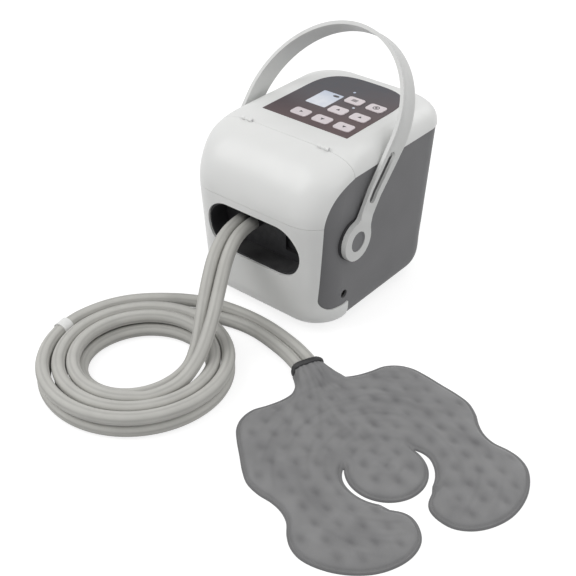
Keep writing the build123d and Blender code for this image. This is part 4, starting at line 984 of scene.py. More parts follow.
@dataclass
class ColdPad:
    """The welded pad: a flat edge round a bladder that swells between its weld dimples. Sizes in millimetres.

    The pad's own frame has its origin in the middle disc and x away from the neck. The edge profile pairs
    distances from the outline with heights. An edge shadow line is a painted shadow along the edge, given by
    a distance, a width and a darkness, and a wave is a size, a height and a layer of the noise.
    """

    place: Spot = (283.0, -237.0)
    heading: float = -23.77
    neck_x: float = -176.5
    neck_half: float = 18.8
    neck_height: float = 17.6
    neck_end: float = -112.0
    neck_fan: float = 0.55
    neck_side: float = 2.5
    pleats: float = 23.0
    pleat_sway: float = 3.0
    pleat_sway_size: Spot = (30.0, 9.0)
    pleat_height: float = 0.55
    # painted shade in the troughs of the neck's pleats
    pleat_shade: float = 0.4
    sides: tuple[Spot, ...] = (
        (-160, 24), (-150.5, 33), (-146, 48), (-145, 66), (-145.5, 84), (-139, 100), (-127, 111.5),
        (-111, 118.5), (-87, 126), (-66, 132.5), (-48, 135.5), (-30, 132), (-14, 125), (1, 121.6), (16, 123),
        (31, 130), (46, 133.8), (62, 132), (78, 123), (93, 108.5), (104.5, 90), (110.5, 71), (111, 50),
        (106, 32), (95.5, 18), (81, 11), (67, 9.8), (56.5, 14.5), (47.5, 24.5),
    )
    disc_radius: float = 43.5
    slit_widths: Spot = (6.2, 4.0)
    slit_limits: Spot = (106.0, 119.0)
    slit_start: float = 38.0
    slit_taper: float = 26.0
    slit_tip: float = 0.9
    pitch: float = 2.4
    edge_offsets: tuple[float, ...] = (0.5, 1.3, 2.6, 3.5, 4.4, 6.0, 8.2)
    row_clearance: float = 0.985
    least_gap: float = 1e-4
    edge_width: float = 3.9
    edge_profile: tuple[Spot, ...] = ((0.0, 0.9), (0.5, 1.8), (1.3, 2.3), (2.8, 2.2), (3.9, 1.5))
    # painted shadow lines along the welded edge: distance, width and darkness
    edge_shadow_lines: tuple[Point, ...] = ((1.0, 1.3, 0.8), (3.9, 0.9, 0.3))
    side_width: float = 17.0
    swell_height: float = 7.0
    dimple_pitch: float = 23.5
    dimple_radius: float = 5.6
    dimple_squash: Spot = (0.85, 1.25)
    dimple_share: float = 0.2
    # painted shade in the weld dimples
    dimple_shade: float = 0.52
    dimple_margin: float = 11.0
    fold_size: Spot = (60.0, 9.0)
    fold_height: float = 0.9
    waves: tuple[Point, ...] = ((22.0, 0.4, 0.0), (9.0, 0.2, 4.0))
    wave_drop: float = 0.3
    fan_size: Spot = (45.0, 11.0)
    fan_shade: float = 0.55
    ring_size: Spot = (6.0, 1.5)
    ring_shade: float = 0.35
    hose_end_x: float = -168.0
    last_run: float = 30.0
    hose_pitch: float = 16.4
    floor_layer: float = 8.0
    floor_gap: float = 0.25
    neck_blend: int = 4
    # painted shade in dimples, pleats and along the edge, with the dark streaks, carried for the fabric
    PAINTED_SHADE_AND_STREAKS = "painted_shade_and_streaks"
    ALL_TRIANGLES = 0

    def on_floor(self, x: float, y: float, z: float) -> Vector:
        """Takes a point of the pad's own frame to the object's frame.

        Args:
            x: Along the pad, away from its neck.
            y: Across it.
            z: Above the floor.

        Returns:
            The point, in millimetres.
        """
        swing = math.radians(self.heading)
        return Vector((
            self.place[0] + x * math.cos(swing) - y * math.sin(swing),
            self.place[1] + x * math.sin(swing) + y * math.cos(swing),
            z,
        ))

    def hose_end(self, side: int) -> list[Vector]:
        """The last straight run of a hose, square to the pad's neck."""
        ends = (self.hose_end_x - self.last_run, self.hose_end_x)
        return [self.on_floor(x, side * self.hose_pitch / 2, self.floor_layer) for x in ends]

    def outline(self) -> Loop:
        """Draws the pad's outline with the slit round its middle disc.

        Returns:
            One closed loop.
        """
        corner = (self.neck_x, self.neck_half)
        outer = line_between((self.neck_x, 0.0), corner, self.pitch)
        outer += smooth_line([corner, *self.sides], self.pitch)
        halves = []
        for side, width, limit in zip((1, -1), self.slit_widths, self.slit_limits):
            half = [*outer, *self._slit_edge(width, limit), *self._disc_edge(limit)]
            halves.append([(x, side * y) for x, y in half])
        upper, lower = halves
        return upper + [(self.disc_radius, 0.0)] + lower[:0:-1]

    def _slit_edge(self, width: float, limit: float) -> Loop:
        """Draws the slit's outer edge, which draws in to a narrow round end.

        Args:
            width: The slit's width.
            limit: Angle of its end, in degrees.

        Returns:
            Points from the slit's mouth to its end.
        """
        count = round(math.radians(limit - self.slit_start) * self.disc_radius / self.pitch)
        spots = []
        for step in range(count + 1):
            angle = self.slit_start + (limit - self.slit_start) * step / count
            share = min(1.0, (limit - angle) / self.slit_taper)
            opening = (width - self.slit_tip) * math.sin(math.pi / 2 * share)
            spots.append(polar(self.disc_radius + self.slit_tip + opening, math.radians(angle)))
        return spots

    def _disc_edge(self, limit: float) -> Loop:
        """Points on the middle disc from the slit's end back to the far side, none at its last."""
        count = round(math.radians(limit) * self.disc_radius / self.pitch)
        return [polar(self.disc_radius, math.radians(limit) * (1 - step / count)) for step in range(count)]

    def build(self, material: Material) -> Piece:
        """Makes the pad.

        Args:
            material: The fabric.

        Returns:
            The pad, in place of its CAD node.
        """
        outline = np.array(self.outline())
        spots, edges = self._spots(outline)
        spots = [Vector(spot) for spot in spots]
        result = delaunay_2d_cdt(spots, edges, [], self.ALL_TRIANGLES, self.least_gap)
        flat, triangles = np.array([tuple(vertex) for vertex in result[0]]), result[2]
        inside = [face for face in triangles if self._inside(outline, flat[list(face)].mean(axis=0))]
        heights, painted_shade_and_streaks = self._heights(flat, outline)
        upper = [self.on_floor(x, y, z) * MM for (x, y), z in zip(flat, heights)]
        lower = [self.on_floor(x, y, self.floor_gap) * MM for x, y in flat]
        mesh = closed_skin("cold_pad", upper, lower, inside)
        carry(mesh, self.PAINTED_SHADE_AND_STREAKS, [*painted_shade_and_streaks, *[0.0] * len(lower)])
        mesh.validate()
        mesh.shade_smooth()
        pad = add_object("cold_pad", mesh, material)
        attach(pad, MACHINE)
        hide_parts("pad", "pad_manifold")
        return pad

    def _spots(self, outline: np.ndarray) -> tuple[Loop, list[tuple[int, int]]]:
        """Lays out points to triangulate: the outline, rows along it and a grid inside.

        Args:
            outline: Corners of the loop, one a row.

        Returns:
            The points and the outline's edges.
        """
        count = len(outline)
        spots = [tuple(spot) for spot in outline]
        edges = [(index, (index + 1) % count) for index in range(count)]
        ahead = np.roll(outline, -1, axis=0) - np.roll(outline, 1, axis=0)
        inward = np.column_stack((ahead[:, 1], -ahead[:, 0]))
        inward /= np.linalg.norm(inward, axis=1)[:, None]
        for offset in self.edge_offsets:
            row = outline + offset * inward
            clear = distances(row, outline) > self.row_clearance * offset
            spots += [tuple(spot) for spot in row[clear]]
        low, high = outline.min(axis=0), outline.max(axis=0)
        grid = np.array([
            (x, y)
            for number, y in enumerate(np.arange(low[1], high[1], self.pitch))
            for x in np.arange(low[0] + (number % 2) * self.pitch / 2, high[0], self.pitch)
        ])
        far = distances(grid, outline) > self.edge_offsets[-1] + self.pitch / 2
        spots += [tuple(spot) for spot in grid[far] if self._inside(outline, spot)]
        return spots, edges

    @staticmethod
    def _inside(outline: np.ndarray, spot: np.ndarray) -> bool:
        """Tells whether a spot lies inside the outline.

        Args:
            outline: Corners of the loop, one a row.
            spot: The spot.

        Returns:
            True inside.
        """
        x, y = outline[:, 0], outline[:, 1]
        next_x, next_y = np.roll(x, -1), np.roll(y, -1)
        crosses = (y > spot[1]) != (next_y > spot[1])
        with np.errstate(divide="ignore", invalid="ignore"):
            reach = (next_x - x) * (spot[1] - y) / (next_y - y) + x
        return bool(np.count_nonzero(crosses & (spot[0] < reach)) % 2)

    def _dents(self, flat: np.ndarray, outline: np.ndarray) -> np.ndarray:
        """Finds how deep each spot lies in a weld dimple.

        Args:
            flat: The skin's spots, one a row.
            outline: Corners of the loop, one a row.

        Returns:
            1 in the middle of a dimple and 0 far from all of them.
        """
        row_pitch = self.dimple_pitch * math.sqrt(3) / 2
        left = outline[:, 0].min() + self.dimple_margin
        columns = int((outline[:, 0].max() - left) / self.dimple_pitch)
        rows = int(outline[:, 1].max() / row_pitch)
        middles = np.array([
            (left + (column + abs(row) % 2 / 2) * self.dimple_pitch, row * row_pitch)
            for row in range(-rows, rows + 1)
            for column in range(columns + 1)
        ])
        dents = np.zeros(len(flat))
        for middle in middles[distances(middles, outline) > self.dimple_margin]:
            if self._inside(outline, middle):
                away = np.linalg.norm((flat - middle) * self.dimple_squash, axis=1) / self.dimple_radius
                dents = np.maximum(dents, np.exp(-away ** 2))
        return dents

    def _heights(self, flat: np.ndarray, outline: np.ndarray) -> tuple[np.ndarray, np.ndarray]:
        """Shapes the upper skin.

        Args:
            flat: Its spots, one a row.
            outline: Corners of the loop, one a row.

        Returns:
            The height of each spot, and its painted shade in the dimples, the pleats and along the edge, with
            its dark streaks.
        """
        off = distances(flat, outline)
        edge = np.interp(off, *zip(*self.edge_profile))
        swell = np.clip((off - self.edge_width) / self.side_width, 0, 1)
        crown = edge + self.swell_height * np.sqrt(1 - (1 - swell) ** 2)
        dents = self._dents(flat, outline)
        puckers, streaks = np.array([self._creases(x, y) for x, y in flat]).T
        filled = crown * (1 - self.dimple_share * dents) + puckers * np.clip(swell * 2, 0, 1)
        skin = np.maximum(np.where(off > self.edge_width, filled, edge), 0.0)
        neck, pleats = self._neck(flat, off)
        heights = (skin ** self.neck_blend + neck ** self.neck_blend) ** (1 / self.neck_blend)
        # painted shadow lines along the welded edge
        edge_shadow = sum(dark * np.exp(-((off - place) / width) ** 2) for place, width, dark in self.edge_shadow_lines)
        # painted shade in the weld dimples, the edge's shadow lines and the pleats' troughs, plus the dark
        # streaks
        painted_shade_and_streaks = np.clip(self.dimple_shade * dents + edge_shadow + pleats + streaks * swell, 0, 1)
        return heights, painted_shade_and_streaks

    def _neck(self, flat: np.ndarray, off: np.ndarray) -> tuple[np.ndarray, np.ndarray]:
        """Gathers the neck over the hoses.

        Args:
            flat: The skin's spots, one a row.
            off: Their distances to the outline.

        Returns:
            The neck's height at each spot, and the painted shade in its pleats' troughs.
        """
        past = flat[:, 0] - self.neck_x
        fade = ease(np.clip(1 - past / (self.neck_end - self.neck_x), 0, 1))
        width = self.neck_half + self.neck_fan * np.maximum(past, 0)
        height = self.neck_height * fade * np.clip(1 - (np.abs(flat[:, 1]) / width) ** 4, 0, 1) ** 0.5
        along, across = self.pleat_sway_size
        sway = np.array([wobble(x / along, y / across, 7.0) for x, y in flat])
        folds = np.cos(self.pleats * flat[:, 1] / width + self.pleat_sway * sway)
        height = (height + self.pleat_height * folds * fade) * np.clip(off / self.neck_side, 0, 1) ** 0.5
        # the second result is painted shade in the pleats' troughs
        return np.maximum(height, 0.0), self.pleat_shade * fade * np.clip(-folds, 0, 1)

    def _creases(self, x: float, y: float) -> Spot:
        """Finds the small folds and dark streaks at a spot.

        Args:
            x: Along the pad.
            y: Across it.

        Returns:
            Height of the folds that run out from the neck and of the skin's slow waves, and the darkness of
            the streaks that run out from the neck and round the middle disc.
        """
        away, turn = math.hypot(x - self.neck_x, y), math.atan2(y, x - self.neck_x)
        fold = self.fold_height * wobble(away / self.fold_size[0], self.fold_size[1] * turn, 2.0)
        slow = sum(height * wobble(x / size, y / size, layer) for size, height, layer in self.waves)
        fan = wobble(away / self.fan_size[0], self.fan_size[1] * turn, 5.0)
        ring = wobble(math.hypot(x, y) / self.ring_size[0], self.ring_size[1] * math.atan2(y, x), 8.0)
        return fold + slow - self.wave_drop, self.fan_shade * max(0.0, fan) + self.ring_shade * max(0.0, ring)


@dataclass
class NeckCollar:
    """Dark stitched collar where the hoses enter the pad's neck. Sizes in millimetres."""

    half_width: float = 18.0
    half_height: float = 9.5
    squareness: Spot = (0.6, 0.85)
    wall: float = 2.2
    skin: float = 0.4
    start: float = -179.5
    length: float = 7.5
    ragged: Spot = (0.5, 1.1)
    ragged_size: float = 2.5
    frayed: float = 0.8
    frayed_size: float = 9.0
    floor_gap: float = 0.6
    floor_squeeze: float = 0.3
    around: int = 96
    rows: int = 5

    def build(self, pad: ColdPad, material: Material) -> Piece:
        """Makes the collar.

        Args:
            pad: The pad that it closes.
            material: Its finish.

        Returns:
            The collar, in place of the CAD clamp.
        """
        spots, faces = [], []
        for step in range(self.around):
            angle = 2 * math.pi * step / self.around
            ragged = wobble(*polar(self.ragged_size, angle), 0.5)
            frayed = wobble(*polar(self.frayed_size, angle), 3.0)
            low, after = step * self.rows, (step + 1) % self.around * self.rows
            for row in range(self.rows):
                reach = self.wall * math.sin(math.pi * (row + 0.5) / self.rows) + self.ragged[0] * ragged
                along = self.start + self.length * row / (self.rows - 1)
                spots.append((angle, reach, along + self.ragged[1] * ragged + self.frayed * frayed))
            turn = after - low
            faces += [(at, at + turn, at + turn + 1, at + 1) for at in range(low, low + self.rows - 1)]
        outer = [self._spot(pad, angle, self.skin + reach, along) for angle, reach, along in spots]
        inner = [self._spot(pad, angle, 0.0, along) for angle, _, along in spots]
        mesh = closed_skin("neck_collar", outer, inner, faces)
        mesh.shade_smooth()
        collar = add_object("neck_collar", mesh, material)
        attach(collar, MACHINE)
        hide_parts("pad_clamp")
        return collar

    def _spot(self, pad: ColdPad, angle: float, reach: float, along: float) -> Vector:
        """Places a point of the oval, which lies flat on the floor.

        Args:
            pad: The pad that the collar closes.
            angle: Angle round the hoses, in radians.
            reach: Distance outside the oval.
            along: Distance along the pad.

        Returns:
            The point, in metres.
        """
        halves = (self.half_width, self.half_height)
        across, up = [
            (half + reach) * abs(part) ** power * math.copysign(1, part)
            for half, part, power in zip(halves, polar(1.0, angle), self.squareness)
        ]
        lowest = self.floor_gap - self.floor_squeeze * min(1.0, reach)
        return pad.on_floor(along, across, max(pad.floor_layer + up, lowest)) * MM


@dataclass
class CarryHandle:
    """Slotted strap over the machine with a ring at each end. Sizes in millimetres.

    A row of the strap is its offset to the side, its distance from the pivot, and half the widths of the
    strap and of its opening. Fades, the widening and the slot run between two such distances. Where nothing
    is open, the two middle points lie a closed gap off the middle: a size, or a share of the half width where
    that is less.
    """

    pivot: Point = (0.0, -60.0, 122.0)
    lean: float = 33.5
    bow: float = 24.0
    bow_start: float = 60.0
    inside: float = 104.3
    ring_radius: float = 24.5
    ring_thickness: float = 6.5
    ring_fade: Spot = (34.0, 24.0)
    hole_radius: float = 12.7
    arm_half: float = 12.3
    strap_half: float = 15.2
    widening: Spot = (25.0, 130.0)
    thickness: float = 4.5
    straight: float = 118.0
    rise: float = 234.0
    arch_steps: int = 36
    slot: Spot = (46.0, 110.0)
    slot_half: float = 5.8
    rim: float = 3.2
    rim_slope: float = 1.2
    groove: float = 0.9
    groove_fade: Spot = (30.5, 38.5)
    soft_edge: float = 0.7
    sharp_angle: float = 40.0
    blend: int = 6
    closed_gap: Spot = (1.0, 0.3)
    pitch: float = 3.0
    least_pitch: float = 0.05
    COLUMNS = 8

    def build(self, material: Material) -> Piece:
        """Makes the handle.

        Args:
            material: Its finish.

        Returns:
            The handle, in place of its CAD node.
        """
        rows = self._rows()
        path, across = self._path(rows)
        ends = [path[0], *path, path[-1]]
        upper, lower = [], []
        for row, spot, before, after in zip(rows, path, ends, ends[2:]):
            heading = (after - before).normalized()
            out = across.cross(heading).normalized()
            side = heading.cross(out)
            for place, height in self._section(*row[1:]):
                upper.append((spot + side * place + out * height) * MM)
                lower.append((spot + side * place) * MM)
        mesh = closed_skin("carry_handle", upper, lower, self._faces(rows))
        weld_points(mesh)
        mesh.shade_smooth()
        mesh.set_sharp_from_angle(angle=math.radians(self.sharp_angle))
        handle = add_object("carry_handle", mesh, material)
        edges = handle.modifiers.new("soft_edges", "BEVEL")
        edges.width = self.soft_edge * MM
        edges.segments = 2
        edges.angle_limit = math.radians(self.sharp_angle)
        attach(handle, "handle")
        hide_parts("handle")
        return handle

    def _section(self, s: float, half: float, gap: float) -> list[Spot]:
        """Draws the strap's outer face across a row.

        Args:
            s: The row's distance from the pivot.
            half: Half width of the strap.
            gap: Half width of its opening.

        Returns:
            Place across the strap and height over its inner face, for each column.
        """
        sunk = self.groove * self._fade(s, self.groove_fade)
        thick = self.thickness + (self.ring_thickness - self.thickness) * self._fade(s, self.ring_fade)
        first = half - min(self.rim, (half - gap) / 3)
        second = half - min(self.rim + self.rim_slope, 2 * (half - gap) / 3)
        right = [(half, thick), (first, thick), (second, thick - sunk), (gap, thick - sunk)]
        return right + [(-place, height) for place, height in reversed(right)]

    @staticmethod
    def _fade(s: float, limits: Spot) -> float:
        """Share from 0 at the first limit to 1 at the second one."""
        return clamp((s - limits[0]) / (limits[1] - limits[0]))

    def _faces(self, rows: list[tuple[float, ...]]) -> list[Face]:
        """Joins the rows' points, and leaves the hole and the slot open.

        Args:
            rows: The strap's rows.

        Returns:
            Faces of the outer skin.
        """
        faces = []
        for number, (row, after) in enumerate(zip(rows, rows[1:])):
            s = (row[1] + after[1]) / 2
            opened = abs(s) < self.hole_radius or self.slot[0] < s < self.slot[1]
            for column in range(self.COLUMNS - 1):
                start = number * self.COLUMNS + column
                if not (opened and column == self.COLUMNS // 2 - 1):
                    faces.append((start, start + self.COLUMNS, start + self.COLUMNS + 1, start + 1))
        return faces

    def _rows(self) -> list[tuple[float, ...]]:
        """Lays out the rows, closer together round the ring, its hole and the slot's ends.

        Returns:
            The rows from one ring over to the other.
        """
        near, far = self.slot
        arm = [-self.ring_radius * math.cos(math.radians(turn)) for turn in range(0, 153, 9)]
        arm += [self.hole_radius * math.sin(math.radians(turn)) for turn in range(-90, 91, 12)]
        for turn in range(0, 91, 15):
            end = self.slot_half * (1 - math.cos(math.radians(turn)))
            arm += [near + end, far - end]
        plain = np.arange(self.ring_radius, self.straight, self.pitch)
        arm += [float(s) for s in plain if min(abs(s - near), abs(s - far)) >= self.slot_half]
        right = []
        for s in sorted(arm):
            if not right or s - right[-1][1] > self.least_pitch:
                right.append((self.inside, s))
        for step in range(1, self.arch_steps + 1):
            out, up = polar(1.0, math.pi / 2 * step / self.arch_steps)
            right.append((self.inside * out, self.straight + (self.rise - self.straight) * up))
        both = right + [(-x, s) for x, s in reversed(right[:-1])]
        return [(x, s, *self._widths(s)) for x, s in both]

    def _widths(self, s: float) -> Spot:
        """Finds how wide the strap is.

        Args:
            s: Distance from the pivot.

        Returns:
            Half width of the strap and of its opening.
        """
        chord = math.sqrt(max(0.0, self.ring_radius ** 2 - s ** 2))
        strap = self.arm_half + (self.strap_half - self.arm_half) * ease(self._fade(s, self.widening))
        half = (chord ** self.blend + strap ** self.blend) ** (1 / self.blend) if s > 0 else chord
        gap = min(self.closed_gap[0], self.closed_gap[1] * half)
        if abs(s) <= self.hole_radius:
            gap = math.sqrt(max(0.0, self.hole_radius ** 2 - s ** 2))
        elif self.slot[0] <= s <= self.slot[1]:
            past = max(0.0, self.slot_half - min(s - self.slot[0], self.slot[1] - s))
            gap = math.sqrt(max(0.0, self.slot_half ** 2 - past ** 2))
        return half, gap

    def _path(self, rows: list[tuple[float, ...]]) -> tuple[list[Vector], Vector]:
        """Leans and bows the strap.

        Args:
            rows: The strap's rows.

        Returns:
            Its inner middle line, and the direction across it.
        """
        lean = math.radians(self.lean)
        along = Vector((0.0, math.sin(lean), math.cos(lean)))
        across = Vector((0.0, math.cos(lean), -math.sin(lean)))
        path = []
        for x, s, *_ in rows:
            share = max(0.0, s - self.bow_start) / (self.rise - self.bow_start)
            path.append(Vector(self.pivot) + Vector((x, 0.0, 0.0)) + s * along + self.bow * share * across)
        return path, across


@dataclass
class HandleStud:
    """The stud that a ring turns on, with a dished head. Sizes in millimetres."""

    pivot: Spot = (-60.0, 122.0)
    profile: tuple[Spot, ...] = (
        (0.0, 96.0), (10.0, 96.0), (10.0, 105.0), (12.4, 105.0), (12.4, 109.9), (12.0, 110.3), (11.2, 110.3),
        (10.4, 109.6), (9.4, 109.4), (0.0, 109.5),
    )
    around: int = 48
    sharp_angle: float = 35.0

    def build(self, side: int, material: Material) -> Piece:
        """Makes one stud.

        Args:
            side: 1 for the right and -1 for the left.
            material: Its finish.

        Returns:
            The stud, in place of its CAD node.
        """
        name = "right" if side > 0 else "left"
        vertices = [
            (side * out * MM, (self.pivot[0] + y) * MM, (self.pivot[1] + z) * MM)
            for radius, out in self.profile
            for y, z in regular_loop(radius, self.around)
        ]
        faces = [face[::side] for face in ring_quads(len(self.profile), self.around)]
        mesh = bpy.data.meshes.new(f"stud_{name}")
        mesh.from_pydata(vertices, [], faces)
        weld_points(mesh)
        mesh.shade_smooth()
        mesh.set_sharp_from_angle(angle=math.radians(self.sharp_angle))
        stud = add_object(f"stud_{name}", mesh, material)
        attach(stud, MACHINE)
        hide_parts(f"handle_stud_{name}")
        return stud


class Sign(Enum):
    """Plain raised signs on the keys."""

    UP = "up"
    DOWN = "down"
    RUN = "run"
    BARS = "bars"
    RING = "ring"


def rectangle(width: float, depth: float, y: float) -> Loop:
    """Corners of a rectangle about (0, y)."""
    half = width / 2
    return [(-half, y - depth / 2), (half, y - depth / 2), (half, y + depth / 2), (-half, y + depth / 2)]


def ring_loops(inner: float, outer: float, pieces: int = 24) -> list[Loop]:
    """Outlines short sectors that make a ring.

    Args:
        inner: Radius inside.
        outer: Radius outside.
        pieces: Number of sectors.

    Returns:
        One outline for each sector.
    """
    loops = []
    for piece in range(pieces):
        first, last = 2 * math.pi * piece / pieces, 2 * math.pi * (piece + 1) / pieces
        loops.append([polar(inner, first), polar(outer, first), polar(outer, last), polar(inner, last)])
    return loops


def raised_plates(name: str, loops: list[Loop], base: Vector, height: float, top_share: float = 0.93) -> Mesh:
    """Flat plates of the given outlines, closed all round, with slightly smaller tops.

    Args:
        name: The mesh's name.
        loops: Counter-clockwise outlines in millimetres about the base.
        base: Where they stand, in metres.
        height: How far they stand up, in metres.
        top_share: Size of a top, measured by its foot.

    Returns:
        One mesh with a closed shell for each outline.
    """
    vertices, faces = [], []
    for loop in loops:
        first = len(vertices)
        count = len(loop)
        middle = np.mean(loop, axis=0)
        for level, share in ((0.0, 1.0), (height, top_share)):
            for spot in loop:
                x, y = middle + share * (np.array(spot) - middle)
                vertices.append((base.x + x * MM, base.y + y * MM, base.z + level))
        shell = [tuple(reversed(range(count))), tuple(range(count, 2 * count)), *ring_quads(2, count)]
        faces += [tuple(first + index for index in face) for face in shell]
    mesh = bpy.data.meshes.new(name)
    mesh.from_pydata(vertices, [], faces)
    return mesh


@dataclass
class KeyPanel:
    """Small pieces on the control panel: key signs, a symbol, two lamps and the film's far corners."""

    sign_height: float = 0.16 * MM
    triangle_radius: float = 3.0
    run_radius: float = 2.8
    bar: Spot = (8.0, 1.0)
    bar_places: tuple[float, ...] = (-2.2, 0.0, 2.2)
    ring: Spot = (3.4, 4.4)
    dot: float = 1.9
    oval: Spot = (4.6, 2.6)
    symbol_spot: Spot = (-14.0, 56.0)
    lamp_spots: tuple[Spot, ...] = ((-3.0, 79.0), (22.0, 43.0))
    lamp_radius: float = 1.9
    lamp_height: float = 0.7 * MM
    lamp_rings: int = 5
    lamp_around: int = 24
    arch_middle: float = 52.45
    arch_radius: float = 63.55
    film_overlap: float = 0.5
    film_fullness: float = 3.2
    film_levels: Spot = (225.0, 225.42)
    film_steps: int = 72
    signs: dict[str, Sign] = field(default_factory=lambda: {
        "key_start": Sign.RUN,
        "key_temperature_down": Sign.DOWN,
        "key_temperature_up": Sign.UP,
        "key_time_down": Sign.DOWN,
        "key_time_up": Sign.UP,
        "key_mode": Sign.BARS,
        "key_power": Sign.RING,
    })

    def build(self, ink: Material, lamp: Material, film: Material) -> list[Piece]:
        """Makes the small pieces.

        Args:
            ink: Finish of the signs and of the display's symbol.
            lamp: Finish of the lamps.
            film: Finish of the panel.

        Returns:
            The new pieces.
        """
        pieces = [self._sign(key, sign, ink) for key, sign in self.signs.items()]
        pieces += [self._symbol(ink), self._far_film(film)]
        pieces += [self._lamp(number, spot, lamp) for number, spot in enumerate(self.lamp_spots, start=1)]
        return pieces

    def _far_film(self, material: Material) -> Piece:
        """Makes the film beyond the CAD panel's arch, which fills the panel's far corners.

        Args:
            material: Its finish.

        Returns:
            The film.
        """
        spots = []
        for step in range(self.film_steps + 1):
            turn = math.pi * step / self.film_steps
            power = abs(math.cos(turn)) ** self.film_fullness + math.sin(turn) ** self.film_fullness
            far = self.arch_radius / power ** (1 / self.film_fullness)
            spots += [polar(radius, turn) for radius in (self.arch_radius - self.film_overlap, far)]
        faces = [(low, low + 1, low + 3, low + 2) for low in range(0, 2 * self.film_steps, 2)]
        lower, upper = [
            [Vector((x * MM, (self.arch_middle + y) * MM, level * MM)) for x, y in spots]
            for level in self.film_levels
        ]
        mesh = closed_skin("panel_far_film", upper, lower, faces)
        piece = add_object("panel_far_film", mesh, material)
        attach(piece, MACHINE)
        return piece

    def _loops(self, sign: Sign) -> list[Loop]:
        """Outlines a sign.

        Args:
            sign: Which sign.

        Returns:
            Its loops about the key's middle, in millimetres.
        """
        if sign is Sign.UP:
            return [regular_loop(self.triangle_radius, 3, math.pi / 2)]
        if sign is Sign.DOWN:
            return [regular_loop(self.triangle_radius, 3, -math.pi / 2)]
        if sign is Sign.RUN:
            return [regular_loop(self.run_radius, 3)]
        if sign is Sign.BARS:
            return [rectangle(*self.bar, y) for y in self.bar_places]
        return ring_loops(*self.ring) + [regular_loop(self.dot, 16)]

    def _sign(self, key: str, sign: Sign, ink: Material) -> Piece:
        """Makes one key's sign, which moves with the key.

        Args:
            key: The key's node.
            sign: Which sign.
            ink: Its finish.

        Returns:
            The sign.
        """
        low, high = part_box(key)
        base = Vector(((low.x + high.x) / 2, (low.y + high.y) / 2, high.z))
        mesh = raised_plates(f"{key}_sign", self._loops(sign), base, self.sign_height)
        piece = add_object(f"{key}_sign", mesh, ink)
        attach(piece, key)
        return piece

    def _symbol(self, ink: Material) -> Piece:
        """Makes the dark oval symbol at the display's far end.

        Args:
            ink: Its finish.

        Returns:
            The symbol.
        """
        oval = [(self.oval[0] * x, self.oval[1] * y) for x, y in regular_loop(1.0, 28)]
        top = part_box("display_window")[1].z
        base = Vector((self.symbol_spot[0] * MM, self.symbol_spot[1] * MM, top))
        mesh = raised_plates("display_symbol", [oval], base, self.sign_height / 2)
        piece = add_object("display_symbol", mesh, ink)
        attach(piece, MACHINE)
        return piece

    def _lamp(self, number: int, spot: Spot, finish: Material) -> Piece:
        """Makes one low round lamp on the film.

        Args:
            number: Its number.
            spot: Its middle.
            finish: Its finish.

        Returns:
            The lamp.
        """
        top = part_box("control_panel")[1].z
        around = self.lamp_around
        vertices = []
        for ring in range(self.lamp_rings):
            radius, climb = polar(1.0, math.pi / 2 * ring / self.lamp_rings)
            for x, y in regular_loop(self.lamp_radius * radius, around):
                vertices.append(((spot[0] + x) * MM, (spot[1] + y) * MM, top + self.lamp_height * climb))
        crown = len(vertices)
        last = crown - around
        vertices.append((spot[0] * MM, spot[1] * MM, top + self.lamp_height))
        faces = ring_quads(self.lamp_rings, around)
        faces += [(last + step, last + (step + 1) % around, crown) for step in range(around)]
        faces.append(tuple(reversed(range(around))))
        mesh = bpy.data.meshes.new(f"lamp_{number}")
        mesh.from_pydata(vertices, [], faces)
        mesh.shade_smooth()
        piece = add_object(f"lamp_{number}", mesh, finish)
        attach(piece, MACHINE)
        return piece


@dataclass
class Wardrobe:
    """The finish of every CAD node, chosen by its material slot."""

    effects: Effects
    finishes: dict[str, Finish] = field(default_factory=lambda: {
        "grey_shell": Moulding(
            "grey_shell_moulding", (0.152, 0.152, 0.157), (0.26, 0.26, 0.27), 0.55, depth=0.05 * MM, rub=0.06
        ),
        "white_shell": Moulding(
            "white_shell_moulding", (0.78, 0.785, 0.775), (0.86, 0.86, 0.85), 0.36,
            mottle=0.2, depth=0.015 * MM, coat=0.12,
        ),
        "handle_plastic": Moulding(
            "handle_moulding", (0.66, 0.665, 0.655), (0.78, 0.78, 0.77), 0.42, rub=0.4
        ),
        "dark_plastic": Moulding("dark_moulding", (0.016, 0.016, 0.018), (0.06, 0.06, 0.065), 0.6),
        "clear_white_plastic": Moulding(
            "natural_moulding", (0.74, 0.76, 0.77), (0.84, 0.85, 0.86), 0.4, depth=0.01 * MM, through=0.2
        ),
        "foam": FoamBlock(),
        "rubber": Moulding(
            "soft_rubber", (0.028, 0.028, 0.028), (0.07, 0.07, 0.07), 0.8, grains=900.0, dust=0.1
        ),
        "silicone": Moulding(
            "silicone_tube", (0.66, 0.67, 0.66), (0.74, 0.74, 0.74), 0.3, through=0.3, depth=0.01 * MM
        ),
        "panel_film": PrintedFilm(),
        "key_film": Moulding(
            "key_film_print", (0.74, 0.665, 0.69), (0.85, 0.82, 0.83), 0.3, coat=0.3, depth=0.008 * MM
        ),
        "display": DisplayGlass(),
        "display_frame": Moulding("ink_black", (0.035, 0.03, 0.034), (0.06, 0.06, 0.06), 0.5),
        "board": CircuitBoard(),
        "steel": PlatedMetal("plated_steel", (0.6, 0.6, 0.62), 1.0, 0.32),
        "motor_can": PlatedMetal("motor_can_steel", (0.34, 0.34, 0.36), 0.9, 0.4),
        "hose": HoseSleeve(),
        "pad_fabric": WeldedFabric(),
    })
    made: dict[str, Material] = field(default_factory=dict)

    def finish(self, slot: str) -> Material:
        """Gives the material of a slot, made on first use.

        Args:
            slot: The slot's name.

        Returns:
            The material.
        """
        if slot not in self.made:
            self.made[slot] = self.finishes[slot].material(self.effects)
        return self.made[slot]

    def dress(self, frame: dict) -> None:
        """Gives every CAD node its finish.
        """
        for row in frame["record"]["subparts"]:
            item = frame["nodes"][row["node"]]
            for place in item.material_slots:
                place.material = self.finish(row["material_slot"])
            log.info("dressed %s as %s", row["node"], row["material_slot"])


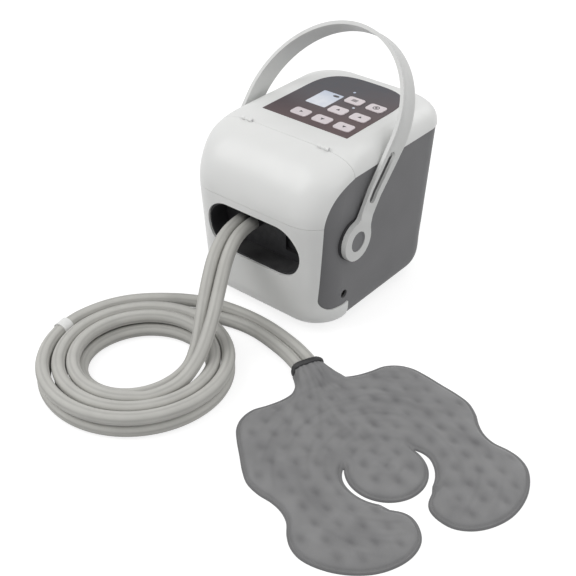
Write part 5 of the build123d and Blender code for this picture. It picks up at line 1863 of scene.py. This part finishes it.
@dataclass
class Studio:
    """Pale floor, soft lights, white surround and the camera. Sizes in metres."""

    camera_place: Point = (0.6943, -0.8911, 0.7718)
    camera_turn: Point = (54.769, 0.0, 39.663)
    lens: float = 65.2
    floor_size: float = 8.0
    floor_tone: float = 0.38
    floor_roughness: float = 0.9
    floor_specular: float = 0.1
    floor_glow: float = 0.77
    ambient: float = 0.62
    aim: Point = (0.0, -0.1, 0.1)

    def build(self) -> None:
        """Sets up the surroundings."""
        self._camera()
        self._world()
        self._floor()
        self._lamp("key_light", (-0.9, -1.1, 1.5), size=1.3, power=13.0)
        self._lamp("side_light", (1.6, -0.4, 1.0), size=1.2, power=5.0)
        self._lamp("back_light", (0.2, 1.5, 1.3), size=1.2, power=6.0)
        bpy.context.scene.view_settings.view_transform = "Standard"

    def _camera(self) -> None:
        """The camera at the photograph's place."""
        data = bpy.data.cameras.new("camera")
        data.lens = self.lens
        camera = bpy.data.objects.new("camera", data)
        camera.location = self.camera_place
        camera.rotation_euler = [math.radians(angle) for angle in self.camera_turn]
        bpy.context.scene.collection.objects.link(camera)
        bpy.context.scene.camera = camera

    def _world(self) -> None:
        """A pale grey surround that shows as white."""
        world = bpy.data.worlds.new("surround")
        world.use_nodes = True
        nodes = Nodes(world.node_tree)
        strength = nodes.remap(nodes.seen(), 0.0, 1.0, self.ambient, 1.0)
        ground = world.node_tree.nodes["Background"]
        nodes.feed(ground, {"Color": opaque((1.0, 1.0, 1.0)), "Strength": strength})
        bpy.context.scene.world = world

    def _floor(self) -> None:
        """A wide pale floor that keeps the object's shadow."""
        half = self.floor_size / 2
        corners_on_floor = [(-half, -half, 0), (half, -half, 0), (half, half, 0), (-half, half, 0)]
        mesh = bpy.data.meshes.new("floor")
        mesh.from_pydata(corners_on_floor, [], [(0, 1, 2, 3)])
        material, nodes, shader = start_material("pale_floor")
        nodes.feed(shader, {
            "Base Color": opaque((self.floor_tone,) * 3),
            "Roughness": self.floor_roughness,
            "Specular IOR Level": self.floor_specular,
            "Emission Color": opaque((1.0, 1.0, 1.0)),
            "Emission Strength": nodes.math("MULTIPLY", nodes.seen(), self.floor_glow),
        })
        floor = add_object("floor", mesh, material)
        floor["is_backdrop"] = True

    def _lamp(self, name: str, place: Point, size: float, power: float) -> None:
        """Sets up a large soft lamp that faces the object.

        Args:
            name: Its name.
            place: Where it stands.
            size: Length of its sides.
            power: Its power in watts.
        """
        data = bpy.data.lights.new(name, "AREA")
        data.size = size
        data.energy = power
        lamp = bpy.data.objects.new(name, data)
        lamp.location = place
        lamp.rotation_euler = (Vector(self.aim) - Vector(place)).to_track_quat("-Z", "Y").to_euler()
        bpy.context.scene.collection.objects.link(lamp)


SUPPLY_HOSE = Hose(
    name="supply_hose",
    drop=(
        (-15.9, -98, 117), (-15.9, -122, 117), (-5.4, -155.9, 107), (11.8, -189.3, 87), (26.4, -218.6, 63),
        (39.5, -251, 42), (44.3, -274.5, 32), (45.4, -292.9, 26.8), (41.9, -310.9, 24.5),
    ),
    turns=((73.0, 24.2), (72.5, 24.2), (89.4, 24.2), (89.0, 24.2), (105.6, 24.2), (107.0, 24.2)),
    lead=((-65.4, -173.7, 22), (-38.6, -152.6, 17), (-7.2, -139.3, 11), (30, -134.6, 8), (71.8, -140.8, 8)),
    pad_side=1,
    length=1979.0,
    start_angle=42.0,
)
RETURN_HOSE = Hose(
    name="return_hose",
    drop=(
        (-32.1, -98, 117), (-32.1, -122, 117), (-20.6, -162.1, 107), (-2.8, -196.7, 84), (10.5, -222, 56),
        (21, -239, 38.6), (26.4, -255, 24.8), (27.8, -265.3, 19.6), (28, -276.5, 17),
    ),
    turns=((56.0, 17.0), (66.5, 8.0), (87.0, 8.0), (88.0, 8.0), (105.0, 8.0), (107.0, 8.0)),
    lead=((-60.1, -180.4, 8), (-31.8, -164.7, 8), (-2.7, -154.8, 8), (30, -151.1, 8), (68.2, -157.1, 8)),
    pad_side=-1,
    length=1914.0,
)


def corners() -> list[list[float]]:
    """The shown object's lowest and highest corner."""
    return [[float(value) for value in corner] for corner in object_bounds()]


def main() -> None:
    """Dresses the frame and builds what the CAD leaves to the looks."""
    logging.basicConfig(level=logging.INFO, format="%(message)s")
    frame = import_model()
    Studio().build()
    effects = Effects()
    effects.build()
    wardrobe = Wardrobe(effects)
    wardrobe.dress(frame)
    pad = ColdPad()
    hoses = ((SUPPLY_HOSE, ["hose_clip"]), (RETURN_HOSE, []))
    pieces = [hose.build(wardrobe.finish("hose"), pad, clips) for hose, clips in hoses]
    pieces.append(pad.build(wardrobe.finish("pad_fabric")))
    pieces.append(NeckCollar().build(pad, wardrobe.finish("dark_plastic")))
    pieces.append(CarryHandle().build(wardrobe.finish("handle_plastic")))
    pieces += [HandleStud().build(side, wardrobe.finish("grey_shell")) for side in (1, -1)]
    ink, lamp, film = [wardrobe.finish(slot) for slot in ("display_frame", "display", "panel_film")]
    pieces += KeyPanel().build(ink, lamp, film)
    for piece in pieces:
        log.info("built %s with %d faces", piece.name, len(piece.data.polygons))


if __name__ == "__main__":
    main()
